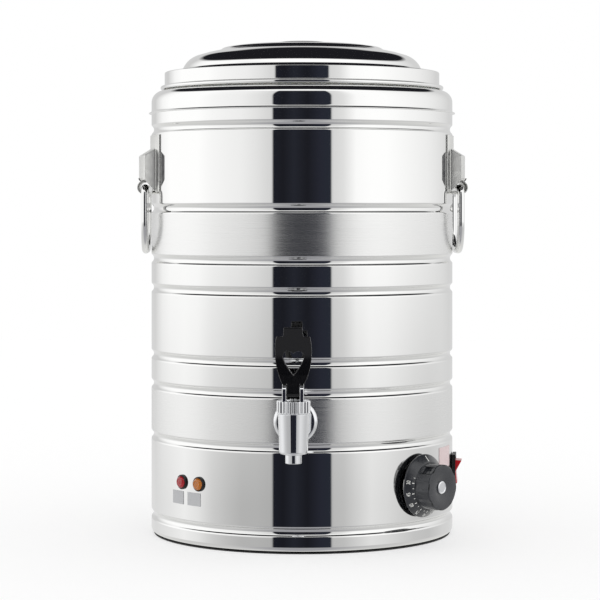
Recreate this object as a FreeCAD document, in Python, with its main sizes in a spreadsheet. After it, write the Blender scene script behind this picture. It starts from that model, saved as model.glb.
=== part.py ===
"""Hot water urn: an insulated double-wall steel barrel with a lift-off lid, a lever tap and two bails.

Frame: the origin is on the barrel's axis at floor level, +Z is up, -Y is the front with the tap,
and +X is to the right of someone who faces the tap. Lengths are millimetres, angles are degrees.
An angle round the barrel starts at the tap and grows towards +X.
"""
import FreeCAD, Part
import math
import os

import Sketcher

Vector = FreeCAD.Vector
Z_AXIS = Vector(0, 0, 1)

SIZES = {
    # barrel
    "barrel_radius": 150.0,
    "shell_sheet": 0.8,
    "seam_height": 416.6,
    "seam_flare": 2.6,
    "mouth_height": 438.5,
    "shoulder_radius": 11.5,
    "hem_radius": 5.0,
    "hem_reach": 11.0,
    "bead_width": 10.4,
    "bead_depth": 2.4,
    "bead_edge_radius": 2.2,
    "bead_foot_height": 20.5,
    "bead_deck_height": 98.6,
    "bead_low_height": 149.0,
    "bead_belt_height": 178.0,
    "bead_mid_height": 243.6,
    "bead_upper_height": 272.5,
    "bead_handle_height": 322.0,
    "bead_neck_height": 400.0,
    # pot and foam
    "pot_radius": 132.0,
    "pot_sheet": 0.8,
    "pot_floor": 105.0,
    "pot_corner": 7.2,
    "pot_rim_reach": 5.4,
    "foam_gap": 0.3,
    "foam_top": 430.0,
    # base
    "sole_thickness": 1.5,
    "ring_inner_radius": 136.0,
    "ring_lip_thickness": 1.2,
    "plate_sheet": 0.8,
    "plate_vent_count": 24,
    "plate_vent_radius": 92.0,
    "plate_vent_length": 24.0,
    "plate_vent_width": 4.0,
    "bracket_sheet": 1.2,
    "bracket_width": 12.0,
    "bracket_reach": 31.0,
    "bracket_rise": 9.0,
    "base_screw_radius": 2.0,
    "base_screw_head": 4.0,
    "base_screw_circle": 128.0,
    # heater
    "heat_plate_radius": 95.0,
    "heat_plate_thickness": 6.0,
    "element_ring_radius": 70.0,
    "element_radius": 4.0,
    "element_gap_angle": 30.0,
    "element_leg": 17.0,
    "pin_radius": 1.2,
    "pin_length": 14.0,
    "clamp_length": 172.0,
    "clamp_width": 24.0,
    "clamp_thickness": 2.5,
    "stud_radius": 4.0,
    "stud_length": 44.0,
    "stud_nut_width": 13.0,
    "stud_nut_thickness": 6.5,
    "shield_radius": 98.0,
    "shield_height": 74.0,
    "shield_sheet": 0.8,
    "shield_rim": 6.0,
    "cutout_offset": 40.0,
    "cutout_radius": 9.0,
    "cutout_thickness": 8.0,
    "bulb_radius": 3.0,
    "bulb_length": 62.0,
    "capillary_radius": 0.9,
    "capillary_offset": 13.0,
    # thermostat and its knob
    "knob_angle": 51.0,
    "knob_height": 58.0,
    "stat_width": 34.0,
    "stat_depth": 38.0,
    "stat_rise": 34.0,
    "bush_radius": 5.0,
    "shaft_radius": 3.0,
    "shaft_reach": 16.0,
    "stat_screw_spacing": 28.0,
    "stat_screw_radius": 2.0,
    "bezel_radius": 26.0,
    "bezel_sheet": 1.0,
    "skirt_radius": 30.0,
    "skirt_depth": 8.0,
    "skirt_lift": 3.3,
    "grip_radius": 22.0,
    "grip_reach": 27.0,
    "grip_flute_count": 8,
    "grip_flute_radius": 26.0,
    "grip_flute_depth": 0.9,
    "grip_cap_radius": 6.0,
    # rocker switch
    "switch_angle": 86.0,
    "switch_height": 63.0,
    "switch_bezel_width": 27.0,
    "switch_bezel_height": 32.0,
    "switch_bezel_depth": 3.4,
    "switch_body_width": 22.0,
    "switch_body_height": 28.0,
    "switch_body_depth": 25.0,
    "rocker_width": 18.0,
    "rocker_height": 23.2,
    "rocker_tilt": 11.0,
    "rocker_clearance": 1.3,
    # pilot lamps and labels
    "lamp_height": 61.0,
    "red_lamp_angle": -47.2,
    "amber_lamp_angle": -38.2,
    "lamp_bezel_radius": 7.0,
    "lamp_bezel_depth": 1.8,
    "lamp_body_radius": 5.0,
    "lamp_body_depth": 22.0,
    "lens_radius": 5.6,
    "lens_rise": 2.4,
    "lamp_label_height": 46.0,
    "lamp_label_width": 17.5,
    "lamp_label_rise": 12.5,
    "lamp_label_shift": -2.6,
    "side_label_angle": 70.3,
    "side_label_height": 80.0,
    "side_label_width": 31.0,
    "side_label_rise": 20.0,
    "label_thickness": 0.3,
    # cable gland
    "gland_height": 45.0,
    "gland_thread_radius": 8.0,
    "gland_bore_radius": 4.2,
    "gland_throat_radius": 6.0,
    "gland_flange_radius": 12.5,
    "gland_dome_radius": 10.5,
    "gland_reach": 18.0,
    "gland_nut_width": 22.0,
    "gland_nut_thickness": 5.0,
    "wire_radius": 1.3,
    # tap
    "tap_reach": 42.0,
    "tap_height": 124.0,
    "shank_radius": 9.0,
    "shank_bore": 6.0,
    "flange_radius": 20.5,
    "flange_depth": 5.8,
    "sleeve_radius": 12.0,
    "tap_nut_width": 27.0,
    "tap_nut_thickness": 6.0,
    "tap_seal_thickness": 2.0,
    "boss_radius": 11.0,
    "spout_radius": 7.5,
    "spout_bore": 5.0,
    "spout_height": 90.0,
    "tap_body_foot": 98.5,
    "tap_foot_radius": 13.1,
    "tap_top_radius": 14.4,
    "tap_body_top": 135.5,
    "seat_height": 104.0,
    "chamber_radius": 9.5,
    "bonnet_radius": 15.5,
    "bonnet_top": 147.6,
    "bonnet_flute_count": 24,
    "bonnet_flute_radius": 1.1,
    "spring_room_radius": 7.0,
    "spring_room_top": 143.0,
    "cheek_radius": 8.0,
    "cheek_thickness": 3.6,
    "tongue_width": 11.8,
    "pivot_height": 155.0,
    "pivot_offset": 5.0,
    "pivot_radius": 1.5,
    "stem_radius": 2.5,
    "cup_radius": 8.0,
    "cup_height": 5.7,
    "cross_pin_radius": 1.2,
    "spring_mean_radius": 5.0,
    "spring_wire_radius": 0.6,
    "spring_turns": 8,
    # tap lever
    "lever_hub_radius": 6.5,
    "lever_waist": 9.8,
    "lever_waist_height": 162.0,
    "lever_half_width": 16.75,
    "lever_belly_height": 190.0,
    "lever_shoulder_height": 206.0,
    "lever_tab": 9.0,
    "lever_top": 214.4,
    "lever_lean": 6.0,
    "heart_half_width": 9.5,
    "heart_foot": 170.5,
    "heart_top": 192.6,
    # side handles
    "handle_turn": 4.0,
    "handle_sheet": 1.2,
    "handle_flange_half": 21.5,
    "handle_flange_foot": 338.0,
    "handle_flange_top": 394.0,
    "handle_box_half": 17.6,
    "handle_box_radius": 162.5,
    "handle_box_foot": 350.0,
    "handle_box_shoulder": 373.5,
    "handle_box_top": 380.5,
    "curl_radius": 6.6,
    "curl_reach": 156.6,
    "curl_height": 342.6,
    "curl_half_length": 31.0,
    "bail_rod": 3.6,
    "bail_hinge_reach": 155.2,
    "bail_hinge_height": 342.0,
    "bail_half_width": 40.0,
    "bail_bottom": 280.6,
    "bail_top_bend": 9.0,
    "bail_bottom_bend": 28.0,
    # lid
    "lid_sheet": 0.8,
    "lid_lip_radius": 141.0,
    "lid_lip_foot": 439.6,
    "lid_lip_height": 3.8,
    "lid_band_radius": 137.0,
    "lid_band_top": 457.0,
    "dome_foot_radius": 117.5,
    "dome_foot_height": 460.2,
    "dome_edge_radius": 106.0,
    "dome_edge_height": 473.2,
    "dome_step_radius": 86.0,
    "dome_step_height": 478.4,
    "crown_radius": 71.0,
    "crown_height": 482.6,
    "dish_radius": 55.0,
    "dish_depth": 18.0,
    "liner_clearance": 2.2,
    "liner_floor": 424.0,
    "gasket_thickness": 2.0,
    "lid_gap": 0.3,
    "lid_knob_radius": 30.0,
    "lid_knob_top": 488.5,
    "lid_knob_neck": 9.0,
    "lid_screw_radius": 3.0,
    # shared clearances
    "hole_clearance": 0.4,
    "running_clearance": 0.1,
    "seat_clearance": 0.1,
}


class Size:
    """A size that keeps its number beside the spreadsheet expression that gives it."""

    def __init__(self, number, text):
        self.number = number
        self.text = text

    def __add__(self, other):
        other = as_size(other)
        return Size(self.number + other.number, f"({self.text} + {other.text})")

    def __sub__(self, other):
        other = as_size(other)
        return Size(self.number - other.number, f"({self.text} - {other.text})")

    def __mul__(self, other):
        other = as_size(other)
        return Size(self.number * other.number, f"({self.text} * {other.text})")

    def __truediv__(self, other):
        other = as_size(other)
        return Size(self.number / other.number, f"({self.text} / {other.text})")

    def __radd__(self, other):
        return as_size(other) + self

    def __rsub__(self, other):
        return as_size(other) - self

    def __rmul__(self, other):
        return as_size(other) * self

    def __neg__(self):
        return as_size(0) - self


def as_size(value):
    """A plain number as a Size, so that both can stand in one sum."""
    if isinstance(value, Size):
        return value
    return Size(float(value), f"({value:.6f})")


def root(size):
    return Size(math.sqrt(size.number), f"sqrt({size.text})")


def sine(angle):
    return Size(math.sin(math.radians(angle.number)), f"sin(1deg * {angle.text})")


def cosine(angle):
    return Size(math.cos(math.radians(angle.number)), f"cos(1deg * {angle.text})")


class Dimensions:
    """The spreadsheet's cells by name."""


def make_sheet(document):
    sheet = document.addObject("Spreadsheet::Sheet", "Sizes")
    cells = Dimensions()
    for row, (name, value) in enumerate(SIZES.items(), 1):
        sheet.set(f"A{row}", name)
        sheet.set(f"B{row}", str(value))
        sheet.setAlias(f"B{row}", name)
        setattr(cells, name, Size(float(value), f"Sizes.{name}"))
    document.recompute()
    return cells


doc = FreeCAD.newDocument("hot_water_urn")
d = make_sheet(doc)
parts = []


def bind(thing, name, size):
    """Set a property from the sheet, or to a plain number."""
    if isinstance(size, Size):
        thing.setExpression(name, size.text)
    else:
        setattr(thing, name, size)


def keep(thing, label, placement=None):
    """Name a finished sub-part, place it and list it for writing."""
    thing.Label = label
    if placement is not None:
        thing.Placement = placement
    parts.append(thing)
    return thing


def turned(angle, base=None):
    """A placement turned about the barrel's axis after a shift."""
    shift = FreeCAD.Placement(base or Vector(0, 0, 0), FreeCAD.Rotation())
    degrees = angle.number if isinstance(angle, Size) else angle
    return FreeCAD.Placement(Vector(0, 0, 0), FreeCAD.Rotation(Z_AXIS, degrees)).multiply(shift)


def new_body(name):
    return doc.addObject("PartDesign::Body", name)


def new_sketch(body, role, lift=None, turn=None):
    """A sketch on one of the body's own origin planes, lifted off it or turned about its upright."""
    sketch = body.newObject("Sketcher::SketchObject", body.Name + "_sketch")
    plane = next(item for item in body.Origin.OriginFeatures if item.Role == role)
    sketch.AttachmentSupport = [(plane, "")]
    sketch.MapMode = "FlatFace"
    if turn is not None:
        turn = as_size(turn)
        sketch.AttachmentOffset = FreeCAD.Placement(
            Vector(0, 0, 0), FreeCAD.Rotation(Vector(0, 1, 0), turn.number)
        )
    if lift is not None:
        bind(sketch, "AttachmentOffset.Base.z", as_size(lift))
    return sketch


def minor_arc(start, end, radius):
    """The short arc from start to end, turning left for a positive radius."""
    middle = (start + end) * 0.5
    along = end - start
    half = along.Length / 2
    side = Vector(-along.y, along.x, 0).normalize()
    reach = math.sqrt(max(radius * radius - half * half, 0.0))
    centre = middle + side * (reach if radius > 0 else -reach)
    first, second = (start, end) if radius > 0 else (end, start)
    angles = [math.atan2(p.y - centre.y, p.x - centre.x) for p in (first, second)]
    if angles[1] < angles[0]:
        angles[1] += 2 * math.pi
    return Part.ArcOfCircle(Part.Circle(centre, Z_AXIS, abs(radius)), angles[0], angles[1])


def outline(sketch, points):
    """Close a loop. A point's third value is the radius of the arc to the next, positive to the left."""
    corners = [(as_size(p[0]), as_size(p[1]), as_size(p[2]) if len(p) > 2 else None) for p in points]
    places = [Vector(x.number, y.number, 0) for x, y, _ in corners]
    edges, ends = [], []
    for index, (_, _, radius) in enumerate(corners):
        start, end = places[index], places[(index + 1) % len(places)]
        if radius is None:
            edges.append(Part.LineSegment(start, end))
            ends.append((1, 2))
        else:
            edges.append(minor_arc(start, end, radius.number))
            ends.append((1, 2) if radius.number > 0 else (2, 1))
    base = sketch.GeometryCount
    rules = sketch.ConstraintCount
    sketch.addGeometry(edges, False)
    joins, bound = [], []
    count = len(corners)
    for index in range(count):
        before = (index - 1) % count
        joins.append(Sketcher.Constraint(
            "Coincident", base + before, ends[before][1], base + index, ends[index][0]))
    for index, (x, y, radius) in enumerate(corners):
        for kind, size in (("DistanceX", x), ("DistanceY", y)):
            joins.append(Sketcher.Constraint(kind, base + index, ends[index][0], size.number))
            bound.append((len(joins) - 1, size.text))
        if radius is not None:
            joins.append(Sketcher.Constraint("Radius", base + index, abs(radius.number)))
            text = radius.text if radius.number > 0 else f"(-{radius.text})"
            bound.append((len(joins) - 1, text))
    sketch.addConstraint(joins)
    for index, text in bound:
        sketch.setExpression(f"Constraints[{rules + index}]", text)


def circle(sketch, x, y, radius):
    x, y, radius = as_size(x), as_size(y), as_size(radius)
    base, rules = sketch.GeometryCount, sketch.ConstraintCount
    centre = Vector(x.number, y.number, 0)
    sketch.addGeometry(Part.Circle(centre, Z_AXIS, radius.number), False)
    sketch.addConstraint([
        Sketcher.Constraint("DistanceX", base, 3, x.number),
        Sketcher.Constraint("DistanceY", base, 3, y.number),
        Sketcher.Constraint("Radius", base, radius.number),
    ])
    for index, size in enumerate((x, y, radius)):
        sketch.setExpression(f"Constraints[{rules + index}]", size.text)


def rectangle(sketch, x0, y0, x1, y1):
    outline(sketch, [(x0, y0), (x1, y0), (x1, y1), (x0, y1)])


def hexagon(sketch, x, y, width):
    """A hexagon of a given width over its flats, with two corners level with its centre."""
    corner = width / math.sqrt(3)
    outline(sketch, [
        (x + corner, y), (x + corner / 2, y + width / 2), (x - corner / 2, y + width / 2),
        (x - corner, y), (x - corner / 2, y - width / 2), (x + corner / 2, y - width / 2),
    ])


def feature(body, kind, sketch, **settings):
    """One sketch-based feature with its settings bound to the sheet."""
    made = body.newObject("PartDesign::" + kind, body.Name + "_" + kind.lower())
    made.Profile = sketch
    for name, value in settings.items():
        bind(made, name, value)
    sketch.Visibility = False
    return made


def revolve(body, sketch, kind="Revolution", angle=360, symmetric=False):
    made = body.newObject("PartDesign::" + kind, body.Name + "_" + kind.lower())
    made.Profile = sketch
    made.ReferenceAxis = (sketch, ["V_Axis"])
    bind(made, "Angle", angle)
    made.Midplane = symmetric
    return made


def pad(body, sketch, length, symmetric=False, backwards=False):
    side = "Symmetric" if symmetric else "One side"
    return feature(body, "Pad", sketch, Length=length, SideType=side, Reversed=backwards)


def cut(body, sketch, length, symmetric=False, backwards=False):
    side = "Symmetric" if symmetric else "One side"
    return feature(body, "Pocket", sketch, Length=length, SideType=side, Reversed=backwards)


def cut_outward(body, sketch):
    """Cut from the barrel's axis out through a wall, along the sketch's own normal."""
    return cut(body, sketch, d.barrel_radius * 2, backwards=True)


def around(body, made, axis_role, count):
    """Repeat one feature evenly about an origin axis of its body."""
    pattern = body.newObject("PartDesign::PolarPattern", body.Name + "_pattern")
    pattern.Originals = [made]
    axis = next(item for item in body.Origin.OriginFeatures if item.Role == axis_role)
    pattern.Axis = (axis, [""])
    pattern.Angle = 360
    bind(pattern, "Occurrences", count)
    body.Tip = pattern
    return pattern


def sheet_metal(path, thickness):
    """The closed loop of a sheet that follows an open path, with its thickness to the path's left."""
    path = [(as_size(p[0]), as_size(p[1]), as_size(p[2]) if len(p) > 2 else None) for p in path]
    places = [Vector(x.number, y.number, 0) for x, y, _ in path]
    directions = []
    for index in range(len(path) - 1):
        start, end, radius = places[index], places[index + 1], path[index][2]
        chord = (end - start).normalize()
        swing = 0.0
        if radius is not None:
            swing = math.asin(min((end - start).Length / 2 / abs(radius.number), 1.0))
            swing = math.copysign(swing, radius.number)
        directions.append((rotated(chord, -swing), rotated(chord, swing)))
    far_side = []
    for index, (x, y, _) in enumerate(path):
        before = directions[index - 1][1] if index > 0 else directions[0][0]
        after = directions[index][0] if index < len(directions) else directions[-1][1]
        left = [Vector(-v.y, v.x, 0) for v in (before, after)]
        normal = (left[0] + left[1]) * (1 / (1 + left[0].dot(left[1])))
        radius = path[index - 1][2] if index > 0 else None
        corner = [x + thickness * normal.x, y + thickness * normal.y]
        if radius is not None:
            corner.append(thickness - radius)
        far_side.append(tuple(corner))
    near_side = [(x, y, radius) if radius is not None else (x, y) for x, y, radius in path[:-1]]
    return near_side + [path[-1][:2]] + far_side[::-1]


def rotated(direction, angle):
    turn, rise = math.cos(angle), math.sin(angle)
    return Vector(direction.x * turn - direction.y * rise, direction.x * rise + direction.y * turn, 0)


def upright(name, points):
    """A body of revolution about its own upright axis, from radius and height."""
    body = new_body(name)
    sketch = new_sketch(body, "XZ_Plane")
    outline(sketch, points)
    revolve(body, sketch)
    return body


def outward(name, points):
    """A body of revolution about the outward axis, from radius and distance from the barrel's axis."""
    body = new_body(name)
    sketch = new_sketch(body, "XY_Plane")
    mirrored = [(p[0], -as_size(p[1])) + tuple(-as_size(r) for r in p[2:]) for p in points]
    outline(sketch, mirrored)
    revolve(body, sketch)
    return body


def at_height(height):
    return Vector(0, 0, height.number)


def wall_hole(body, angle, height, radius):
    """A round hole through the barrel's wall."""
    sketch = new_sketch(body, "XZ_Plane", turn=angle)
    circle(sketch, 0, height, radius)
    cut_outward(body, sketch)


def tube(points, radius):
    """A tube along straight runs joined by tangent arcs, each as large as its two runs allow."""
    corners = [Vector(*p) for p in points]
    edges, radii, last = [], [], corners[0]
    for before, corner, after in zip(corners, corners[1:], corners[2:]):
        back, onward = before - corner, after - corner
        short = min(back.Length, onward.Length)
        reach = 0.45 * short
        back.normalize()
        onward.normalize()
        bend = back.getAngle(onward) / 2
        start, end = corner + back * reach, corner + onward * reach
        half = (back + onward).normalize()
        arc_radius = reach * math.tan(bend)
        radii.append(arc_radius)
        middle = corner + half * (arc_radius / math.sin(bend) - arc_radius)
        edges.append(Part.LineSegment(last, start).toShape())
        edges.append(Part.Arc(start, middle, end).toShape())
        last = end
    edges.append(Part.LineSegment(last, corners[-1]).toShape())
    print("bend radii", " ".join(f"{bend_radius:.1f}" for bend_radius in radii))
    spine = Part.Wire(edges)
    section = Part.Wire([Part.Circle(corners[0], corners[1] - corners[0], radius).toShape()])
    return spine.makePipeShell([section], True, False)


def plain(label, shapes):
    """A sub-part whose solids come straight from swept tubes."""
    made = doc.addObject("Part::Feature", label)
    made.Shape = shapes[0] if len(shapes) == 1 else Part.makeCompound(shapes)
    return keep(made, label)


# Barrel: one rolled sheet with a curled hem at the floor and eight inward beads.
beads = [
    d.bead_foot_height, d.bead_deck_height, d.bead_low_height, d.bead_belt_height,
    d.bead_mid_height, d.bead_upper_height, d.bead_handle_height, d.bead_neck_height,
]
bead_sum = (d.bead_width * d.bead_width / 4 + d.bead_depth * d.bead_depth) / (2 * d.bead_depth)
bead_slope_in = d.bead_edge_radius * d.bead_depth / bead_sum
bead_slope_up = d.bead_edge_radius * d.bead_width / 2 / bead_sum
shell_inner = d.barrel_radius - d.shell_sheet
sole = d.sole_thickness


def bead(height):
    """One inward bead: two soft edges and a round bottom, all tangent."""
    low, high = height - d.bead_width / 2, height + d.bead_width / 2
    inset = d.barrel_radius - bead_slope_in
    return [
        (d.barrel_radius, low, d.bead_edge_radius),
        (inset, low + bead_slope_up, d.bead_edge_radius - bead_sum),
        (inset, high - bead_slope_up, d.bead_edge_radius),
        (d.barrel_radius, high),
    ]


def outer_shell():
    path = [
        (d.barrel_radius - d.hem_reach, sole),
        (d.barrel_radius - d.hem_radius, sole, d.hem_radius),
        (d.barrel_radius, sole + d.hem_radius),
    ]
    for height in beads:
        path += bead(height)
    path.append((d.barrel_radius, d.seam_height))
    body = upright("outer_shell", sheet_metal(path, d.shell_sheet))
    wall_hole(body, 0, d.tap_height, d.shank_radius + d.hole_clearance)
    wall_hole(body, d.knob_angle, d.knob_height, d.bush_radius + d.hole_clearance)
    for side in (-1, 1):
        screws = new_sketch(body, "XZ_Plane", turn=d.knob_angle)
        circle(screws, side * d.stat_screw_spacing / 2, d.knob_height,
               d.stat_screw_radius + d.hole_clearance)
        cut_outward(body, screws)
    for angle in (d.red_lamp_angle, d.amber_lamp_angle):
        wall_hole(body, angle, d.lamp_height, d.lamp_body_radius + d.hole_clearance)
    wall_hole(body, 180, d.gland_height, d.gland_thread_radius + d.hole_clearance)
    window = new_sketch(body, "XZ_Plane", turn=d.switch_angle)
    half_width = d.switch_body_width / 2 + d.hole_clearance
    half_height = d.switch_body_height / 2 + d.hole_clearance
    rectangle(window, -half_width, d.switch_height - half_height,
              half_width, d.switch_height + half_height)
    cut_outward(body, window)
    keep(body, "outer_shell")


def shoulder_ring():
    """The pressed top ring, crimped over the barrel's seam and rounded in to the mouth."""
    bend = d.seam_flare
    path = [
        (d.barrel_radius + d.seam_flare, d.seam_height, -bend),
        (d.barrel_radius, d.seam_height + bend),
        (d.barrel_radius, d.mouth_height - d.shoulder_radius, d.shoulder_radius),
        (d.barrel_radius - d.shoulder_radius, d.mouth_height),
        (d.pot_radius + d.hole_clearance, d.mouth_height),
    ]
    keep(upright("shoulder_ring", sheet_metal(path, d.shell_sheet)), "shoulder_ring")


rim_top = d.mouth_height - d.shell_sheet
pot_outer = d.pot_radius + d.pot_sheet


def inner_pot():
    """The deep-drawn pot, hung from its rim under the shoulder ring."""
    corner = d.pot_corner + d.pot_sheet
    path = [
        (0, d.pot_floor),
        (pot_outer - corner, d.pot_floor, corner),
        (pot_outer, d.pot_floor + corner),
        (pot_outer, rim_top - d.pot_sheet),
        (pot_outer + d.pot_rim_reach, rim_top - d.pot_sheet),
    ]
    body = upright("inner_pot", [
        path[0], path[1], path[2], path[3], path[4],
        (pot_outer + d.pot_rim_reach, rim_top),
        (d.pot_radius, rim_top),
        (d.pot_radius, d.pot_floor + corner, -d.pot_corner),
        (pot_outer - corner, d.pot_floor + d.pot_sheet),
        (0, d.pot_floor + d.pot_sheet),
    ])
    wall_hole(body, 0, d.tap_height, d.shank_radius + d.seat_clearance)
    keep(body, "inner_pot")


def foam_jacket():
    inner = pot_outer + d.foam_gap
    outer = d.barrel_radius - d.shell_sheet - d.bead_depth - d.foam_gap
    body = upright("foam_jacket", [
        (inner, d.pot_floor), (outer, d.pot_floor), (outer, d.foam_top), (inner, d.foam_top)])
    wall_hole(body, 0, d.tap_height, d.sleeve_radius + d.hole_clearance)
    keep(body, "foam_jacket")


hem_inner = d.barrel_radius - d.hem_reach
hem_top = sole + d.shell_sheet
ring_top = hem_top + d.ring_lip_thickness
plate_under = ring_top + d.seat_clearance
plate_top = plate_under + d.plate_sheet
plate_radius = d.ring_inner_radius - d.hole_clearance


def base_ring():
    """The rubber foot: a channel pushed over the barrel's hem."""
    web = hem_inner - d.seat_clearance
    lip = d.barrel_radius - 1.5 * d.hem_radius
    body = upright("base_ring", [
        (d.ring_inner_radius, 0), (d.barrel_radius - d.hem_radius / 2, 0),
        (d.barrel_radius - d.hem_radius / 2, sole), (web, sole), (web, hem_top),
        (lip, hem_top), (lip, ring_top), (d.ring_inner_radius, ring_top)])
    keep(body, "base_ring")


def base_plate():
    body = new_body("base_plate")
    disc = new_sketch(body, "XY_Plane", lift=plate_under)
    circle(disc, 0, 0, plate_radius)
    pad(body, disc, d.plate_sheet)
    for index in range(4):
        angle = as_size(45 + 90 * index)
        hole = new_sketch(body, "XY_Plane")
        circle(hole, d.base_screw_circle * cosine(angle), d.base_screw_circle * sine(angle),
               d.base_screw_radius + d.hole_clearance)
        cut(body, hole, plate_top * 2, backwards=True)
    vent = new_sketch(body, "XY_Plane")
    rectangle(vent, d.plate_vent_radius - d.plate_vent_length / 2, -d.plate_vent_width / 2,
              d.plate_vent_radius + d.plate_vent_length / 2, d.plate_vent_width / 2)
    around(body, cut(body, vent, plate_top * 2, backwards=True), "Z_Axis", d.plate_vent_count)
    keep(body, "base_plate")


def group_of(label, makers):
    """Several like solids in one sub-part."""
    members = [maker() for maker in makers]
    group = doc.addObject("Part::Compound", label)
    group.Links = members
    return keep(group, label)


def base_bracket(angle):
    """One angle lug, spot-welded inside the barrel, that carries the base plate."""
    body = new_body("base_bracket")
    side = new_sketch(body, "XZ_Plane")
    outer = shell_inner - 3 * d.seat_clearance
    inner = outer - d.bracket_reach
    bend = 2.6
    outline(side, sheet_metal([
        (inner, plate_top), (outer - bend, plate_top, bend), (outer, plate_top + bend),
        (outer, plate_top + d.bracket_rise)], d.bracket_sheet))
    pad(body, side, d.bracket_width, symmetric=True)
    hole = new_sketch(body, "XY_Plane")
    circle(hole, d.base_screw_circle, 0, d.base_screw_radius + d.running_clearance)
    cut(body, hole, (plate_top + d.bracket_sheet) * 2, backwards=True)
    body.Placement = turned(angle)
    return body


def base_screw(angle):
    head_thickness = 2.0
    body = new_body("base_screw")
    sketch = new_sketch(body, "XZ_Plane")
    outline(sketch, [
        (0, plate_under - head_thickness), (d.base_screw_head - 0.6, plate_under - head_thickness),
        (d.base_screw_head, plate_under - head_thickness + 0.6), (d.base_screw_head, plate_under),
        (d.base_screw_radius, plate_under), (d.base_screw_radius, plate_under + 7), (0, plate_under + 7)])
    revolve(body, sketch)
    body.Placement = turned(angle, Vector(d.base_screw_circle.number, 0, 0))
    return body


# Heater: a cast plate pressed against the pot's floor by a bar on one welded stud.
heat_under = d.pot_floor - d.heat_plate_thickness
element_height = heat_under - d.element_radius - d.seat_clearance
clamp_top = element_height - d.element_radius - d.seat_clearance
clamp_under = clamp_top - d.clamp_thickness
shield_top = d.shield_height + d.shield_sheet


def heating_plate():
    keep(upright("heating_plate", [
        (d.stud_radius + d.hole_clearance, heat_under), (d.heat_plate_radius, heat_under),
        (d.heat_plate_radius, d.pot_floor), (d.stud_radius + d.hole_clearance, d.pot_floor)]),
        "heating_plate")


def element_end(side):
    """Where a leg of the element turns down, just inside each end of its ring."""
    angle = d.element_gap_angle / 2 + 2
    return d.element_ring_radius * cosine(angle), side * d.element_ring_radius * sine(angle)


def heating_element():
    """One sheathed element bent to a ring, with two cold legs that turn down through the shield."""
    body = new_body("heating_element")
    section = new_sketch(body, "XZ_Plane")
    circle(section, -d.element_ring_radius, element_height, d.element_radius)
    revolve(body, section, angle=360 - d.element_gap_angle, symmetric=True)
    leg_foot = element_height - d.element_leg
    for side in (-1, 1):
        x, y = element_end(side)
        leg = new_sketch(body, "XY_Plane", lift=leg_foot)
        circle(leg, x, y, d.element_radius)
        pad(body, leg, d.element_leg + d.element_radius / 2)
        pin = new_sketch(body, "XY_Plane", lift=leg_foot - d.pin_length)
        circle(pin, x, y, d.pin_radius)
        pad(body, pin, d.pin_length)
    keep(body, "heating_element")


def heater_clamp():
    body = new_body("heater_clamp")
    bar = new_sketch(body, "XY_Plane", lift=clamp_under)
    rectangle(bar, -d.clamp_width / 2, -d.clamp_length / 2, d.clamp_width / 2, d.clamp_length / 2)
    circle(bar, 0, 0, d.stud_radius + d.hole_clearance)
    pad(body, bar, d.clamp_thickness)
    keep(body, "heater_clamp")


def heater_stud():
    keep(upright("heater_stud", [
        (0, d.pot_floor - d.stud_length), (d.stud_radius, d.pot_floor - d.stud_length),
        (d.stud_radius, d.pot_floor), (0, d.pot_floor)]), "heater_stud")


def stud_nut(foot):
    body = new_body("stud_nut")
    sketch = new_sketch(body, "XY_Plane", lift=foot)
    hexagon(sketch, as_size(0), as_size(0), d.stud_nut_width)
    circle(sketch, 0, 0, d.stud_radius + d.running_clearance)
    pad(body, sketch, d.stud_nut_thickness)
    return body


def heat_shield():
    """A shallow tray on the same stud that keeps the heat off the wiring."""
    rim_foot = d.shield_height - d.shield_rim
    body = upright("heat_shield", [
        (d.stud_radius + d.hole_clearance, d.shield_height),
        (d.shield_radius - d.shield_sheet, d.shield_height), (d.shield_radius - d.shield_sheet, rim_foot),
        (d.shield_radius, rim_foot), (d.shield_radius, shield_top),
        (d.stud_radius + d.hole_clearance, shield_top)])
    for x, y, radius in (
        element_end(-1) + (d.element_radius + 2,), element_end(1) + (d.element_radius + 2,),
        (-d.cutout_offset, as_size(0), d.cutout_radius),
    ):
        hole = new_sketch(body, "XY_Plane")
        circle(hole, x, y, radius)
        cut(body, hole, shield_top * 2, backwards=True)
    keep(body, "heat_shield")


def thermal_cutout():
    """A snap-disc cutout flat against the heating plate, with two blades down."""
    blade_drop, blade_width, blade_thickness, blade_gap = 9, 6.3, 0.8, 5
    top = heat_under - d.seat_clearance
    body = new_body("thermal_cutout")
    disc = new_sketch(body, "XY_Plane", lift=top - d.cutout_thickness)
    circle(disc, -d.cutout_offset, 0, d.cutout_radius)
    pad(body, disc, d.cutout_thickness)
    for side in (-1, 1):
        blade = new_sketch(body, "XY_Plane", lift=top - d.cutout_thickness - blade_drop)
        rectangle(blade, -d.cutout_offset - blade_width / 2, side * blade_gap - blade_thickness / 2,
                  -d.cutout_offset + blade_width / 2, side * blade_gap + blade_thickness / 2)
        pad(body, blade, blade_drop)
    keep(body, "thermal_cutout")


# Thermostat: its box sits behind the wall, its bush and shaft pass through it.
stat_front = root(shell_inner * shell_inner - d.stat_width * d.stat_width / 4) - 3 * d.seat_clearance
bezel_back = d.barrel_radius + d.seat_clearance
bezel_front = bezel_back + d.bezel_sheet
knob_back = d.barrel_radius + d.skirt_lift
knob_front = d.barrel_radius + d.grip_reach
screw_head_thickness = 1.2


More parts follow.
